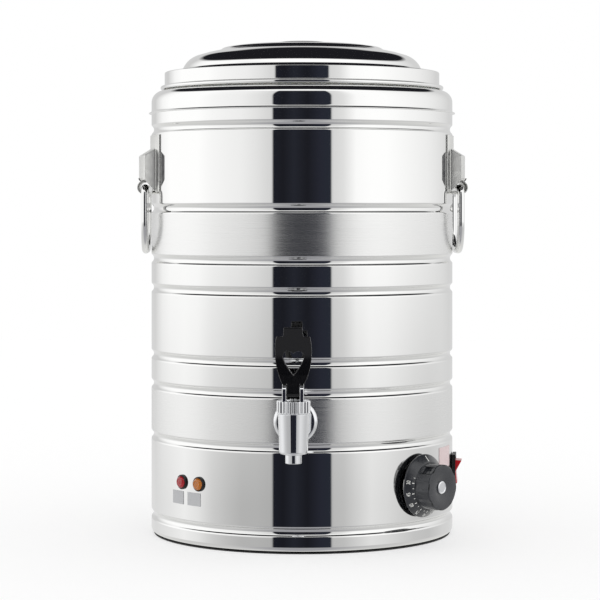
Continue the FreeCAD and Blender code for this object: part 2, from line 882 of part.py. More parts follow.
def thermostat_body():
    body = new_body("thermostat_body")
    box = new_sketch(body, "XZ_Plane", lift=stat_front - d.stat_depth)
    rectangle(box, -d.stat_width / 2, -d.stat_rise / 2, d.stat_width / 2, d.stat_rise / 2)
    pad(body, box, d.stat_depth)
    bush = new_sketch(body, "XZ_Plane", lift=stat_front)
    circle(bush, 0, 0, d.bush_radius)
    pad(body, bush, bezel_front - stat_front)
    bore = new_sketch(body, "XZ_Plane", lift=stat_front - d.shaft_reach / 2)
    circle(bore, 0, 0, d.shaft_radius + d.running_clearance)
    cut(body, bore, d.barrel_radius, backwards=True)
    for side in (-1, 1):
        hole = new_sketch(body, "XZ_Plane", lift=stat_front - 6)
        circle(hole, side * d.stat_screw_spacing / 2, 0, d.stat_screw_radius + d.running_clearance)
        cut(body, hole, d.barrel_radius, backwards=True)
        blade = new_sketch(body, "XZ_Plane", lift=stat_front - d.stat_depth - 8)
        rectangle(blade, side * 8 - 3.15, -10.4, side * 8 + 3.15, -9.6)
        pad(body, blade, 8)
    keep(body, "thermostat_body", turned(d.knob_angle, at_height(d.knob_height)))


def dial_bezel():
    """The thin steel disc that gives the thermostat a flat seat on the round wall."""
    body = new_body("dial_bezel")
    sketch = new_sketch(body, "XZ_Plane", lift=bezel_back)
    circle(sketch, 0, 0, d.bezel_radius)
    circle(sketch, 0, 0, d.bush_radius + d.seat_clearance)
    for side in (-1, 1):
        circle(sketch, side * d.stat_screw_spacing / 2, 0, d.stat_screw_radius + d.hole_clearance)
    pad(body, sketch, d.bezel_sheet)
    keep(body, "dial_bezel", turned(d.knob_angle, at_height(d.knob_height)))


def thermostat_screw(side):
    body = outward("thermostat_screw", [
        (0, stat_front - 5), (d.stat_screw_radius, stat_front - 5), (d.stat_screw_radius, bezel_front),
        (d.stat_screw_radius * 1.8, bezel_front),
        (d.stat_screw_radius * 1.8, bezel_front + screw_head_thickness),
        (0, bezel_front + screw_head_thickness)])
    shift = Vector(side * d.stat_screw_spacing.number / 2, 0, d.knob_height.number)
    body.Placement = turned(d.knob_angle, shift)
    return body


def thermostat_knob():
    """The moulded knob: a coned skirt for the dial marks under a scalloped grip."""
    waist = d.barrel_radius + d.skirt_lift + d.skirt_depth
    skirt_rim = 1.6
    body = outward("thermostat_knob", [
        (d.shaft_radius, knob_back), (d.skirt_radius, knob_back),
        (d.skirt_radius, knob_back + skirt_rim), (d.grip_radius + 1, waist), (d.grip_radius, waist),
        (d.grip_radius, knob_front - 1), (d.grip_radius - 1, knob_front),
        (d.grip_cap_radius + 6, knob_front - 0.6), (d.grip_cap_radius + 1, knob_front - 1.6),
        (d.shaft_radius, knob_front - 1.6)])
    scallop = new_sketch(body, "XZ_Plane", lift=waist)
    circle(scallop, d.grip_radius + d.grip_flute_radius - d.grip_flute_depth, 0, d.grip_flute_radius)
    around(body, cut(body, scallop, d.grip_reach, backwards=True), "Y_Axis", d.grip_flute_count)
    pocket = new_sketch(body, "XZ_Plane", lift=waist + 3.4)
    rectangle(pocket, -4.5, d.grip_radius - 3.4, 4.5, d.grip_radius + 2)
    cut(body, pocket, 8, backwards=True)
    quarter_turn = FreeCAD.Placement(Vector(0, 0, 0), FreeCAD.Rotation(Vector(0, 1, 0), -38))
    placement = turned(d.knob_angle, at_height(d.knob_height)).multiply(quarter_turn)
    keep(body, "thermostat_knob", placement)


def knob_cap():
    """The pressed metal cap over the knob's screw hole."""
    seat = knob_front - 1.6
    body = outward("knob_cap", [
        (0, seat), (d.grip_cap_radius, seat), (d.grip_cap_radius, seat + 1),
        (d.grip_cap_radius - 0.8, seat + 1.6),
        (d.grip_cap_radius - 1.6, seat + 1), (0, seat + 1)])
    keep(body, "knob_cap", turned(d.knob_angle, at_height(d.knob_height)))


def thermostat_shaft():
    body = outward("thermostat_shaft", [
        (0, stat_front - d.shaft_reach / 2 + 1), (d.shaft_radius, stat_front - d.shaft_reach / 2 + 1),
        (d.shaft_radius, knob_front - 1.6), (0, knob_front - 1.6)])
    keep(body, "thermostat_shaft", turned(d.knob_angle, at_height(d.knob_height)))


def capillary_and_bulb():
    """The sensing bulb under the pot and its capillary, one sealed piece to the thermostat's top."""
    angle = math.radians(d.knob_angle.number)
    aside = d.capillary_offset.number
    bulb_height = heat_under.number - d.bulb_radius.number - d.seat_clearance.number
    stat_top = d.knob_height.number + d.stat_rise.number / 2
    bulb_end = d.bulb_length.number - 12
    drop = clamp_under.number - 3.4
    entry = stat_front.number - d.stat_depth.number / 3

    def place(reach, height):
        x = reach * math.sin(angle) + aside * math.cos(angle)
        y = -reach * math.cos(angle) + aside * math.sin(angle)
        return (x, y, height)

    bulb = tube([place(bulb_end - d.bulb_length.number, bulb_height), place(bulb_end, bulb_height)],
                d.bulb_radius.number)
    capillary = tube([
        place(bulb_end, bulb_height), place(bulb_end + 7, bulb_height), place(bulb_end + 12, drop),
        place(bulb_end + 30, drop - 1.5), place(entry - 8, drop), place(entry, drop - 4),
        place(entry, stat_top)], d.capillary_radius.number)
    plain("capillary_and_bulb", [bulb.fuse(capillary)])


# Rocker switch
switch_back = d.barrel_radius + d.seat_clearance
switch_front = switch_back + d.switch_bezel_depth
rocker_pivot = switch_back - 1.2


def switch_housing():
    body = new_body("switch_housing")
    case = new_sketch(body, "XZ_Plane", lift=switch_back - d.switch_body_depth)
    rectangle(case, -d.switch_body_width / 2, -d.switch_body_height / 2,
              d.switch_body_width / 2, d.switch_body_height / 2)
    pad(body, case, d.switch_body_depth)
    bezel = new_sketch(body, "XZ_Plane", lift=switch_back)
    rectangle(bezel, -d.switch_bezel_width / 2, -d.switch_bezel_height / 2,
              d.switch_bezel_width / 2, d.switch_bezel_height / 2)
    pad(body, bezel, d.switch_bezel_depth)
    well = new_sketch(body, "XZ_Plane", lift=rocker_pivot - 12)
    half_width = d.rocker_width / 2 + d.hole_clearance
    half_height = d.rocker_height / 2 + d.rocker_clearance
    rectangle(well, -half_width, -half_height, half_width, half_height)
    cut(body, well, d.barrel_radius, backwards=True)
    for height in (-9, 0, 9):
        blade = new_sketch(body, "XZ_Plane", lift=switch_back - d.switch_body_depth - 8)
        rectangle(blade, -3.15, height - 0.4, 3.15, height + 0.4)
        pad(body, blade, 8)
    keep(body, "switch_housing", turned(d.switch_angle, at_height(d.switch_height)))


def rocker():
    """The red rocker about its own pivot, drawn level and placed with its top half out."""
    half = d.rocker_height / 2
    body = new_body("rocker")
    side = new_sketch(body, "YZ_Plane")
    outline(side, [
        (-8.6, half), (-5, 0), (-8.6, -half), (2, 1 - half), (7.5, -4), (7.5, 4), (2, half - 1)])
    pad(body, side, d.rocker_width, symmetric=True)
    tilt = FreeCAD.Placement(Vector(0, -rocker_pivot.number, d.switch_height.number),
                             FreeCAD.Rotation(Vector(1, 0, 0), d.rocker_tilt.number))
    keep(body, "rocker", turned(d.switch_angle).multiply(tilt))


# Pilot lamps and blank labels
lamp_back = d.barrel_radius + d.seat_clearance
lamp_front = lamp_back + d.lamp_bezel_depth


def lamp_body(angle):
    inner = d.lamp_body_radius - 1.2
    body = outward("lamp_body", [
        (0, lamp_back - d.lamp_body_depth), (d.lamp_body_radius, lamp_back - d.lamp_body_depth),
        (d.lamp_body_radius, lamp_back), (d.lamp_bezel_radius, lamp_back),
        (d.lamp_bezel_radius, lamp_front - 0.6), (d.lamp_bezel_radius - 0.6, lamp_front),
        (d.lens_radius + d.seat_clearance, lamp_front),
        (d.lens_radius + d.seat_clearance, lamp_back + 0.8), (inner, lamp_back + 0.8),
        (inner, lamp_back - 4), (0, lamp_back - 4)])
    body.Placement = turned(angle, at_height(d.lamp_height))
    return body


def lamp_lens(label, angle):
    top = lamp_front + d.lens_rise
    inner = d.lamp_body_radius - 1.2 - d.seat_clearance
    body = outward(label, [
        (0, lamp_back - 3), (inner, lamp_back - 3), (inner, lamp_back + 0.9),
        (d.lens_radius, lamp_back + 0.9), (d.lens_radius, lamp_front + 0.4, 3.4),
        (d.lens_radius - 2.2, top), (0, top)])
    keep(body, label, turned(angle, at_height(d.lamp_height)))


def wall_label(width, rise):
    """A thin foil label that follows the round wall, centred on the front."""
    inner = d.barrel_radius + 0.05
    body = new_body("wall_label")
    sketch = new_sketch(body, "XZ_Plane")
    rectangle(sketch, inner, -rise / 2, inner + d.label_thickness, rise / 2)
    revolve(body, sketch, angle=width / d.barrel_radius * (180 / math.pi), symmetric=True)
    return body


def lamp_label(angle):
    body = wall_label(d.lamp_label_width, d.lamp_label_rise)
    body.Placement = turned(angle.number + d.lamp_label_shift.number - 90,
                            at_height(d.lamp_label_height))
    return body


def side_label():
    body = wall_label(d.side_label_width, d.side_label_rise)
    keep(body, "side_label", turned(d.side_label_angle.number - 90, at_height(d.side_label_height)))


# Cable gland, at the back
def cable_gland():
    outer = d.barrel_radius + d.seat_clearance
    thread_end = shell_inner - d.gland_nut_thickness - 5
    throat_end = outer + 1
    body = outward("cable_gland", [
        (d.gland_throat_radius, thread_end), (d.gland_thread_radius, thread_end),
        (d.gland_thread_radius, outer), (d.gland_flange_radius, outer),
        (d.gland_flange_radius, outer + 3), (d.gland_dome_radius, outer + 3),
        (d.gland_dome_radius, outer + d.gland_reach - 5),
        (d.gland_bore_radius + 1.5, outer + d.gland_reach),
        (d.gland_bore_radius, outer + d.gland_reach),
        (d.gland_bore_radius, throat_end), (d.gland_throat_radius, throat_end)])
    keep(body, "cable_gland", turned(180, at_height(d.gland_height)))


def gland_nut():
    body = new_body("gland_nut")
    corner = d.gland_nut_width / math.sqrt(3)
    face = root(shell_inner * shell_inner - corner * corner) - d.seat_clearance
    sketch = new_sketch(body, "XZ_Plane", lift=face - d.gland_nut_thickness)
    hexagon(sketch, as_size(0), as_size(0), d.gland_nut_width)
    circle(sketch, 0, 0, d.gland_thread_radius + d.running_clearance)
    pad(body, sketch, d.gland_nut_thickness)
    keep(body, "gland_nut", turned(180, at_height(d.gland_height)))


# Wiring bay
TERMINAL_BLOCK = {"length": 54, "width": 22, "rise": 17, "x": -38, "y": 62}


def terminal_block():
    length, width, rise = (TERMINAL_BLOCK[name] for name in ("length", "width", "rise"))
    middle_x, middle_y = TERMINAL_BLOCK["x"], TERMINAL_BLOCK["y"]
    body = new_body("terminal_block")
    block = new_sketch(body, "XY_Plane", lift=plate_top)
    rectangle(block, middle_x - length / 2, middle_y - width / 2,
              middle_x + length / 2, middle_y + width / 2)
    pad(body, block, rise)
    for index in (-1, 0, 1):
        entry = new_sketch(body, "XY_Plane", lift=plate_top + rise - 5)
        circle(entry, middle_x + index * 17, middle_y, 3.4)
        cut(body, entry, 20, backwards=True)
    keep(body, "terminal_block")


def earth_stud():
    x, y = 22, 88
    radius, rise = 2.5, 16
    stud = upright("earth_stud_rod", [
        (0, plate_top), (radius, plate_top), (radius, plate_top + rise), (0, plate_top + rise)])
    stud.Placement = FreeCAD.Placement(Vector(x, y, 0), FreeCAD.Rotation())
    nut = new_body("earth_nut")
    sketch = new_sketch(nut, "XY_Plane", lift=plate_top)
    hexagon(sketch, as_size(0), as_size(0), as_size(8))
    circle(sketch, 0, 0, radius + d.running_clearance)
    pad(nut, sketch, 4)
    nut.Placement = FreeCAD.Placement(Vector(x, y, 0), FreeCAD.Rotation())
    group = doc.addObject("Part::Compound", "earth_stud")
    group.Links = [stud, nut]
    keep(group, "earth_stud")


def on_wall(angle, reach, aside, height):
    """A point by its distance out along an angle round the barrel and its shift to the side."""
    turn = math.radians(angle.number)
    x = reach * math.sin(turn) + aside * math.cos(turn)
    y = -reach * math.cos(turn) + aside * math.sin(turn)
    return (x, y, height)


def wiring_loom():
    """The six wires of the wiring bay, each from a terminal to the blade or pin that it feeds."""
    block_top = plate_top.number + TERMINAL_BLOCK["rise"] - 5
    wells = [(TERMINAL_BLOCK["x"] + index * 17, TERMINAL_BLOCK["y"]) for index in (-1, 0, 1)]
    lamp_rear = lamp_back.number - d.lamp_body_depth.number
    blade_rear = stat_front.number - d.stat_depth.number - 8
    switch_rear = switch_back.number - d.switch_body_depth.number - 8
    pin_foot = element_height.number - d.element_leg.number - d.pin_length.number
    cutout_foot = heat_under.number - d.seat_clearance.number - d.cutout_thickness.number - 9
    cutout_x = -d.cutout_offset.number
    pins = [tuple(size.number for size in element_end(side)) for side in (-1, 1)]
    lamp = d.lamp_height.number
    blade = d.knob_height.number - 10
    runs = [
        [(*wells[0], block_top), (*wells[0], block_top + 21), (-78, 22, 46), (-84, -24, 54),
         on_wall(d.red_lamp_angle, lamp_rear - 20, 0, lamp),
         on_wall(d.red_lamp_angle, lamp_rear, 0, lamp)],
        [(*wells[1], block_top), (*wells[1], block_top + 23), (-14, 24, 46), (18, -22, 42),
         on_wall(d.knob_angle, blade_rear - 26, -8, blade),
         on_wall(d.knob_angle, blade_rear, -8, blade)],
        [(*wells[2], block_top), (*wells[2], block_top + 25), (14, 44, 50), (56, 20, 52),
         on_wall(d.switch_angle, switch_rear - 25, 0, d.switch_height.number),
         on_wall(d.switch_angle, switch_rear, 0, d.switch_height.number)],
        [(*pins[1], pin_foot), (*pins[1], pin_foot - 18), (38, 34, 40), (0, 38, 32), (-32, 22, 38),
         (cutout_x, 5, 56), (cutout_x, 5, cutout_foot)],
        [(*pins[0], pin_foot), (*pins[0], blade), on_wall(d.knob_angle, blade_rear - 22, 8, blade),
         on_wall(d.knob_angle, blade_rear, 8, blade)],
        [(cutout_x, -5, cutout_foot), (cutout_x, -5, 56), (-48, -34, 48), (-58, -60, 52),
         on_wall(d.amber_lamp_angle, lamp_rear - 20, 0, lamp),
         on_wall(d.amber_lamp_angle, lamp_rear, 0, lamp)],
    ]
    plain("wiring_loom", [tube(run, d.wire_radius.number) for run in runs])


# Tap, drawn about its own upright axis and placed in front of the wall
tap_line = d.barrel_radius + d.tap_reach
tap_place = FreeCAD.Placement(Vector(0, -tap_line.number, 0), FreeCAD.Rotation())
flange_front = d.barrel_radius + d.flange_depth
seal_face = root(d.pot_radius * d.pot_radius - d.tap_nut_width * d.tap_nut_width / 3) - d.seat_clearance


def tap_flange():
    """The domed rosette, hollowed behind to the barrel's radius."""
    body = outward("tap_flange", [
        (d.shank_radius + d.hole_clearance, d.barrel_radius - 3), (d.flange_radius, d.barrel_radius - 3),
        (d.flange_radius, flange_front - 3.6, 3.6), (d.flange_radius - 3.6, flange_front),
        (d.shank_radius + d.hole_clearance, flange_front)])
    hollow = new_sketch(body, "XY_Plane")
    circle(hollow, 0, 0, d.barrel_radius + d.seat_clearance)
    cut(body, hollow, d.flange_radius * 4, symmetric=True)
    keep(body, "tap_flange", FreeCAD.Placement(at_height(d.tap_height), FreeCAD.Rotation()))


def across_ring(label, inner, outer, near, far):
    """A plain ring on the tap's shank, between two distances from the barrel's axis."""
    body = outward(label, [(inner, near), (outer, near), (outer, far), (inner, far)])
    keep(body, label, FreeCAD.Placement(at_height(d.tap_height), FreeCAD.Rotation()))


def tap_nut():
    body = new_body("tap_nut")
    sketch = new_sketch(body, "XZ_Plane", lift=seal_face - d.tap_seal_thickness - d.tap_nut_thickness)
    hexagon(sketch, as_size(0), as_size(0), d.tap_nut_width)
    circle(sketch, 0, 0, d.shank_radius + d.running_clearance)
    pad(body, sketch, d.tap_nut_thickness)
    keep(body, "tap_nut", FreeCAD.Placement(at_height(d.tap_height), FreeCAD.Rotation()))


def tap_shank_parts():
    sleeve_outer = root(shell_inner * shell_inner - d.sleeve_radius * d.sleeve_radius)
    shank_inner_end = seal_face - d.tap_seal_thickness - d.tap_nut_thickness - 5
    across_ring("tap_shank", d.shank_bore, d.shank_radius, shank_inner_end, tap_line - 16)
    across_ring("tap_sleeve", d.shank_radius + d.seat_clearance, d.sleeve_radius,
                pot_outer + d.seat_clearance, sleeve_outer - d.seat_clearance)
    across_ring("tap_seal", d.shank_radius + d.seat_clearance, d.tap_nut_width / 2,
                seal_face - d.tap_seal_thickness, seal_face)


def tap_body():
    """The chromed body: a tapered barrel with its spout, an inlet boss and the valve chamber."""
    body = upright("tap_body", [
        (0, d.spout_height), (d.spout_radius - 0.6, d.spout_height),
        (d.spout_radius, d.spout_height + 0.6),
        (d.spout_radius, d.tap_body_foot), (d.tap_foot_radius - 2.2, d.tap_body_foot),
        (d.tap_foot_radius, d.tap_body_foot + 2.6), (d.tap_top_radius, d.tap_body_top),
        (0, d.tap_body_top)])
    boss = new_sketch(body, "XZ_Plane")
    circle(boss, 0, d.tap_height, d.boss_radius)
    pad(body, boss, d.tap_reach - d.flange_depth, backwards=True)
    chamber = new_sketch(body, "XZ_Plane")
    outline(chamber, [
        (0, d.spout_height - 1), (d.spout_bore, d.spout_height - 1), (d.spout_bore, d.seat_height),
        (d.chamber_radius, d.seat_height), (d.chamber_radius, d.tap_body_top + 1),
        (0, d.tap_body_top + 1)])
    revolve(body, chamber, kind="Groove")
    socket = new_sketch(body, "XZ_Plane", lift=-(d.tap_reach - d.flange_depth))
    circle(socket, 0, d.tap_height, d.shank_radius + d.seat_clearance)
    cut(body, socket, d.tap_reach - d.flange_depth - 16, backwards=True)
    inlet = new_sketch(body, "XZ_Plane", lift=-17)
    circle(inlet, 0, d.tap_height, d.shank_bore)
    cut(body, inlet, 17, backwards=True)
    keep(body, "tap_body", tap_place)


cheek_outer = d.tongue_width + 2 * (d.running_clearance * 3 + d.cheek_thickness)


def tap_bonnet():
    """The fluted cap nut with the spring room inside and two cheeks that carry the lever."""
    skirt = d.chamber_radius - 2 * d.running_clearance
    body = upright("tap_bonnet", [
        (d.spring_room_radius, d.tap_body_top - 7), (skirt, d.tap_body_top - 7), (skirt, d.tap_body_top),
        (d.bonnet_radius, d.tap_body_top), (d.bonnet_radius, d.bonnet_top - 1),
        (d.bonnet_radius - 1, d.bonnet_top), (d.stem_radius + d.running_clearance, d.bonnet_top),
        (d.stem_radius + d.running_clearance, d.spring_room_top),
        (d.spring_room_radius, d.spring_room_top)])
    flute = new_sketch(body, "XY_Plane", lift=d.tap_body_top)
    circle(flute, d.bonnet_radius + d.bonnet_flute_radius / 2, 0, d.bonnet_flute_radius)
    flutes = around(body, cut(body, flute, d.bonnet_top, backwards=True), "Z_Axis", d.bonnet_flute_count)
    cheeks = new_sketch(body, "YZ_Plane")
    front, back = -d.pivot_offset - d.cheek_radius, d.cheek_radius - d.pivot_offset
    outline(cheeks, [
        (front, d.bonnet_top - 0.5), (back, d.bonnet_top - 0.5), (back, d.pivot_height, d.cheek_radius),
        (-d.pivot_offset, d.pivot_height + d.cheek_radius, d.cheek_radius), (front, d.pivot_height)])
    pad(body, cheeks, cheek_outer, symmetric=True)
    gap = new_sketch(body, "XZ_Plane")
    half = cheek_outer / 2 - d.cheek_thickness
    rectangle(gap, -half, d.bonnet_top, half, d.pivot_height + 2 * d.cheek_radius)
    cut(body, gap, 60, symmetric=True)
    pin = new_sketch(body, "YZ_Plane")
    circle(pin, -d.pivot_offset, d.pivot_height, d.pivot_radius + d.seat_clearance / 2)
    cut(body, pin, 60, symmetric=True)
    bore = new_sketch(body, "XY_Plane", lift=d.spring_room_top)
    circle(bore, 0, 0, d.stem_radius + d.running_clearance)
    cut(body, bore, 20, backwards=True)
    keep(body, "tap_bonnet", tap_place)


def cross_rod(label, offset, radius, length):
    body = new_body(label)
    sketch = new_sketch(body, "YZ_Plane")
    circle(sketch, offset, d.pivot_height, radius)
    pad(body, sketch, length, symmetric=True)
    keep(body, label, tap_place)


def valve_stem():
    cup_top = d.seat_height + d.lid_gap + d.cup_height
    body = upright("valve_stem", [
        (0, cup_top - 3), (d.stem_radius, cup_top - 3), (d.stem_radius, cup_top),
        (d.spring_mean_radius + 1.5, cup_top), (d.spring_mean_radius + 1.5, cup_top + 1.2),
        (d.stem_radius, cup_top + 1.2), (d.stem_radius, d.pivot_height + 1.6), (0, d.pivot_height + 1.6)])
    hole = new_sketch(body, "YZ_Plane")
    circle(hole, 0, d.pivot_height, d.cross_pin_radius)
    cut(body, hole, 20, symmetric=True)
    keep(body, "valve_stem", tap_place)


def valve_cup():
    foot = d.seat_height + d.lid_gap
    top = foot + d.cup_height
    keep(upright("valve_cup", [
        (0, foot), (d.cup_radius - 1, foot), (d.cup_radius, foot + 1.4), (d.cup_radius - 1.2, top),
        (d.stem_radius, top), (d.stem_radius, top - 3), (0, top - 3)]), "valve_cup", tap_place)


def valve_spring():
    foot = d.seat_height + d.lid_gap + d.cup_height + 1.2 + d.spring_wire_radius + 2 * d.seat_clearance
    height = d.spring_room_top - d.spring_wire_radius - 2 * d.seat_clearance - foot
    body = new_body("valve_spring")
    wire = new_sketch(body, "XZ_Plane")
    circle(wire, d.spring_mean_radius, foot, d.spring_wire_radius)
    coil = body.newObject("PartDesign::AdditiveHelix", "valve_spring_coil")
    coil.Profile = wire
    coil.ReferenceAxis = (wire, ["V_Axis"])
    coil.Mode = "height-turns-angle"
    bind(coil, "Height", height)
    bind(coil, "Turns", d.spring_turns)
    keep(body, "valve_spring", tap_place)


def tap_lever():
    """The heart-holed lever: its front outline met with its side outline, forked over the stem."""
    front = new_body("lever_front")
    face = new_sketch(front, "XZ_Plane")
    half, waist = d.tongue_width / 2, d.lever_waist_height
    shoulder, top = d.lever_shoulder_height, d.lever_top
    right = [
        (half, d.pivot_height - 8), (half, waist), (d.lever_waist, waist, 62),
        (d.lever_half_width, d.lever_belly_height, 70), (d.lever_half_width - 1.2, shoulder - 1, 1.3),
        (d.lever_half_width - 2.2, shoulder), (d.lever_tab + 1.2, shoulder, -1.3),
        (d.lever_tab, shoulder + 1.2), (d.lever_tab - 0.4, top - 1.2, 1.3), (d.lever_tab - 1.6, top)]
    radii = [p[2] if len(p) > 2 else None for p in right]
    left = []
    for index in range(len(right) - 1, -1, -1):
        radius = radii[index - 1] if index > 0 else None
        point = (-right[index][0], right[index][1])
        left.append(point + ((radius,) if radius is not None else ()))
    outline(face, right + left)
    pad(front, face, 60, symmetric=True)

    side = new_body("lever_side")
    profile = new_sketch(side, "YZ_Plane")
    pin_y, pin_z, hub = -d.pivot_offset, d.pivot_height, d.lever_hub_radius
    lean = d.lever_lean
    outline(profile, [
        (pin_y, pin_z - hub), (as_size(0.5), pin_z - 3.5, 3.5), (as_size(4), pin_z),
        (as_size(4), pin_z + 11, 92),
        (4 - lean * 1.7, d.lever_top - 1, 1.2), (3.2 - lean * 1.7, d.lever_top),
        (-lean * 1.7, d.lever_top, 1.2), (-0.9 - lean * 1.7, d.lever_top - 1, -96),
        (as_size(-4.2), pin_z + 16),
        (pin_y - hub, pin_z, hub)])
    pad(side, profile, d.lever_half_width * 2 + 4, symmetric=True)

    blank = doc.addObject("Part::Common", "lever_blank")
    blank.Base, blank.Tool = front, side

    cutters = new_body("lever_cheek_room")
    rooms = new_sketch(cutters, "YZ_Plane", lift=half)
    circle(rooms, pin_y, pin_z, d.cheek_radius + d.hole_clearance)
    pad(cutters, rooms, 20)
    other = new_body("lever_cheek_room_left")
    rooms = new_sketch(other, "YZ_Plane", lift=-half - 20)
    circle(rooms, pin_y, pin_z, d.cheek_radius + d.hole_clearance)
    pad(other, rooms, 20)

    slot = new_body("lever_stem_slot")
    fork = new_sketch(slot, "XZ_Plane", lift=-5)
    room = d.stem_radius + 0.5
    rectangle(fork, -room, pin_z - 10, room, pin_z + 5.5)
    pad(slot, fork, 13.2)

    pin_room = new_body("lever_pin_room")
    rooms = new_sketch(pin_room, "YZ_Plane")
    reach = d.cross_pin_radius + 0.5
    rectangle(rooms, -reach, pin_z - reach, reach + 0.5, pin_z + reach)
    pad(pin_room, rooms, 40, symmetric=True)

    pivot = new_body("lever_pivot_room")
    hole = new_sketch(pivot, "YZ_Plane")
    circle(hole, pin_y, pin_z, d.pivot_radius + d.seat_clearance / 2)
    pad(pivot, hole, 40, symmetric=True)

    heart = new_body("lever_heart")
    shape = new_sketch(heart, "XZ_Plane")
    wide, foot, crest = d.heart_half_width, d.heart_foot, d.heart_top
    outline(shape, [
        (as_size(0), foot, 45), (wide, crest - 6.2, 5.2), (wide / 2, crest, 6.5),
        (as_size(0), crest - 2.4, 6.5),
        (-wide / 2, crest, 5.2), (-wide, crest - 6.2, 45)])
    pad(heart, shape, 60, symmetric=True)

    tools = doc.addObject("Part::MultiFuse", "lever_rooms")
    tools.Shapes = [cutters, other, slot, pin_room, pivot, heart]
    lever = doc.addObject("Part::Cut", "tap_lever")
    lever.Base, lever.Tool = blank, tools
    keep(lever, "tap_lever", tap_place)


# Side handles: the pressed bracket and the round bail
def handle_bracket(label, angle):
    sheet = d.handle_sheet
    wall = d.barrel_radius + d.seat_clearance
    box_half, flange_half = d.handle_box_half, d.handle_flange_half
    body = new_body(label)
    flange = new_sketch(body, "XZ_Plane")
    rectangle(flange, wall, d.handle_flange_foot, wall + sheet, d.handle_flange_top)
    revolve(body, flange, angle=2 * flange_half, symmetric=True)
    box = new_sketch(body, "XZ_Plane")
    outline(box, [
        (wall, d.handle_flange_foot), (wall + sheet, d.handle_flange_foot),
        (d.handle_box_radius, d.handle_box_foot), (d.handle_box_radius, d.handle_box_shoulder),
        (wall + sheet, d.handle_box_top), (wall, d.handle_box_top)])
    revolve(body, box, angle=2 * box_half, symmetric=True)
    cavity = new_sketch(body, "XZ_Plane")
    inner_half = box_half - sheet / d.barrel_radius * (180 / math.pi)
    outline(cavity, [
        (wall - 1, d.handle_flange_foot - 1), (d.handle_box_radius - sheet, d.handle_flange_foot - 1),
        (d.handle_box_radius - sheet, d.handle_box_shoulder - sheet / 2),
        (wall + sheet, d.handle_box_top - sheet * 1.4), (wall - 1, d.handle_box_top - sheet * 1.4)])
    revolve(body, cavity, kind="Groove", angle=2 * inner_half, symmetric=True)
    curl = new_sketch(body, "XZ_Plane")
    radius, inner = d.curl_radius, d.curl_radius - sheet
    x, z = d.curl_reach, d.curl_height
    slant = as_size(40)
    outline(curl, [
        (x - radius * sine(slant), z - radius * cosine(slant), radius),
        (x + radius, z, radius), (x, z + radius), (x - 1, z + radius + 1),
        (x - 1, z + inner), (x, z + inner, -inner),
        (x + inner, z, -inner), (x - inner * sine(slant), z - inner * cosine(slant))])
    pad(body, curl, 2 * d.curl_half_length, symmetric=True)
    web = new_sketch(body, "XZ_Plane")
    face_foot = root(d.handle_box_radius * d.handle_box_radius - d.curl_half_length * d.curl_half_length)
    outline(web, [
        (x - 1, z + inner), (x + 3, z + inner), (face_foot + 1.5, d.handle_box_foot - 1),
        (d.handle_box_radius - 0.2, d.handle_box_foot + 1.5), (face_foot - sheet, d.handle_box_foot + 1.5),
        (face_foot - sheet, d.handle_box_foot + 0.2)])
    pad(body, web, 2 * d.curl_half_length, symmetric=True)
    keep(body, label, turned(angle))


def bail(label, angle):
    """The round ring of rod: a straight hinge bar, two legs and a rounded foot."""
    body = new_body(label)
    path = new_sketch(body, "YZ_Plane", lift=d.bail_hinge_reach)
    half, top, foot = d.bail_half_width, d.bail_hinge_height, d.bail_bottom
    small, large = d.bail_top_bend, d.bail_bottom_bend
    outline(path, [
        (half - small, top), (small - half, top, small), (-half, top - small),
        (-half, foot + large, large), (large - half, foot), (half - large, foot, large),
        (half, foot + large), (half, top - small, small)])
    section = new_sketch(body, "XZ_Plane")
    circle(section, d.bail_hinge_reach, foot, d.bail_rod)
    pipe = body.newObject("PartDesign::AdditivePipe", label + "_pipe")
    pipe.Profile = section
    pipe.Spine = path
    keep(body, label, turned(angle))


# Lid
dish_floor = d.crown_height - d.dish_depth + 1.4
lip_bend = d.lid_lip_height / 2 - 0.3
lid_seat = d.mouth_height + d.lid_gap


def lid_dome():
    """The spun lid skin: a beaded lip, an upright band, the dome and a dished centre."""
    lip, band = d.lid_lip_radius, d.lid_band_radius
    low, high = d.lid_lip_foot, d.lid_lip_foot + d.lid_lip_height
    path = [
        (lip - 2.8, low), (lip - lip_bend, low, lip_bend), (lip, low + lip_bend),
        (lip, high - lip_bend, lip_bend),
        (lip - lip_bend, high), (band + 1, high, -1), (band, high + 1), (band, d.lid_band_top - 1.2, 1.2),
        (band - 1.2, d.lid_band_top), (d.dome_foot_radius + 3, d.dome_foot_height - 1.2, -4),
        (d.dome_foot_radius, d.dome_foot_height + 1.6),
        (d.dome_foot_radius - 1.6, d.dome_foot_height + 6, 13),
        (d.dome_edge_radius, d.dome_edge_height, 160), (d.dome_step_radius, d.dome_step_height, -12),
        (d.dome_step_radius - 4.5, d.dome_step_height + 1.2, 8),
        (d.crown_radius + 4, d.crown_height - 0.6, 80),
        (d.dish_radius + 3, d.crown_height + 1.4, 3),
        (d.dish_radius, d.crown_height - 1.6), (d.dish_radius - 2, dish_floor + 4, -4),
        (d.dish_radius - 6, dish_floor), (d.lid_screw_radius + d.hole_clearance, dish_floor)]
    keep(upright("lid_dome", sheet_metal(path, d.lid_sheet)), "lid_dome")


liner_wall = d.pot_radius - d.liner_clearance
liner_rim_under = lid_seat + d.gasket_thickness
liner_rim = liner_rim_under + d.lid_sheet


def lid_liner():
    """The inner pan that drops into the pot's mouth."""
    wall = liner_wall - d.lid_sheet
    path = [
        (d.lid_band_radius - d.lid_sheet - 0.4, liner_rim), (wall + 2, liner_rim, 2),
        (wall, liner_rim - 2), (wall, d.liner_floor + 5, -5), (wall - 5, d.liner_floor),
        (0, d.liner_floor)]
    keep(upright("lid_liner", sheet_metal(path, d.lid_sheet)), "lid_liner")


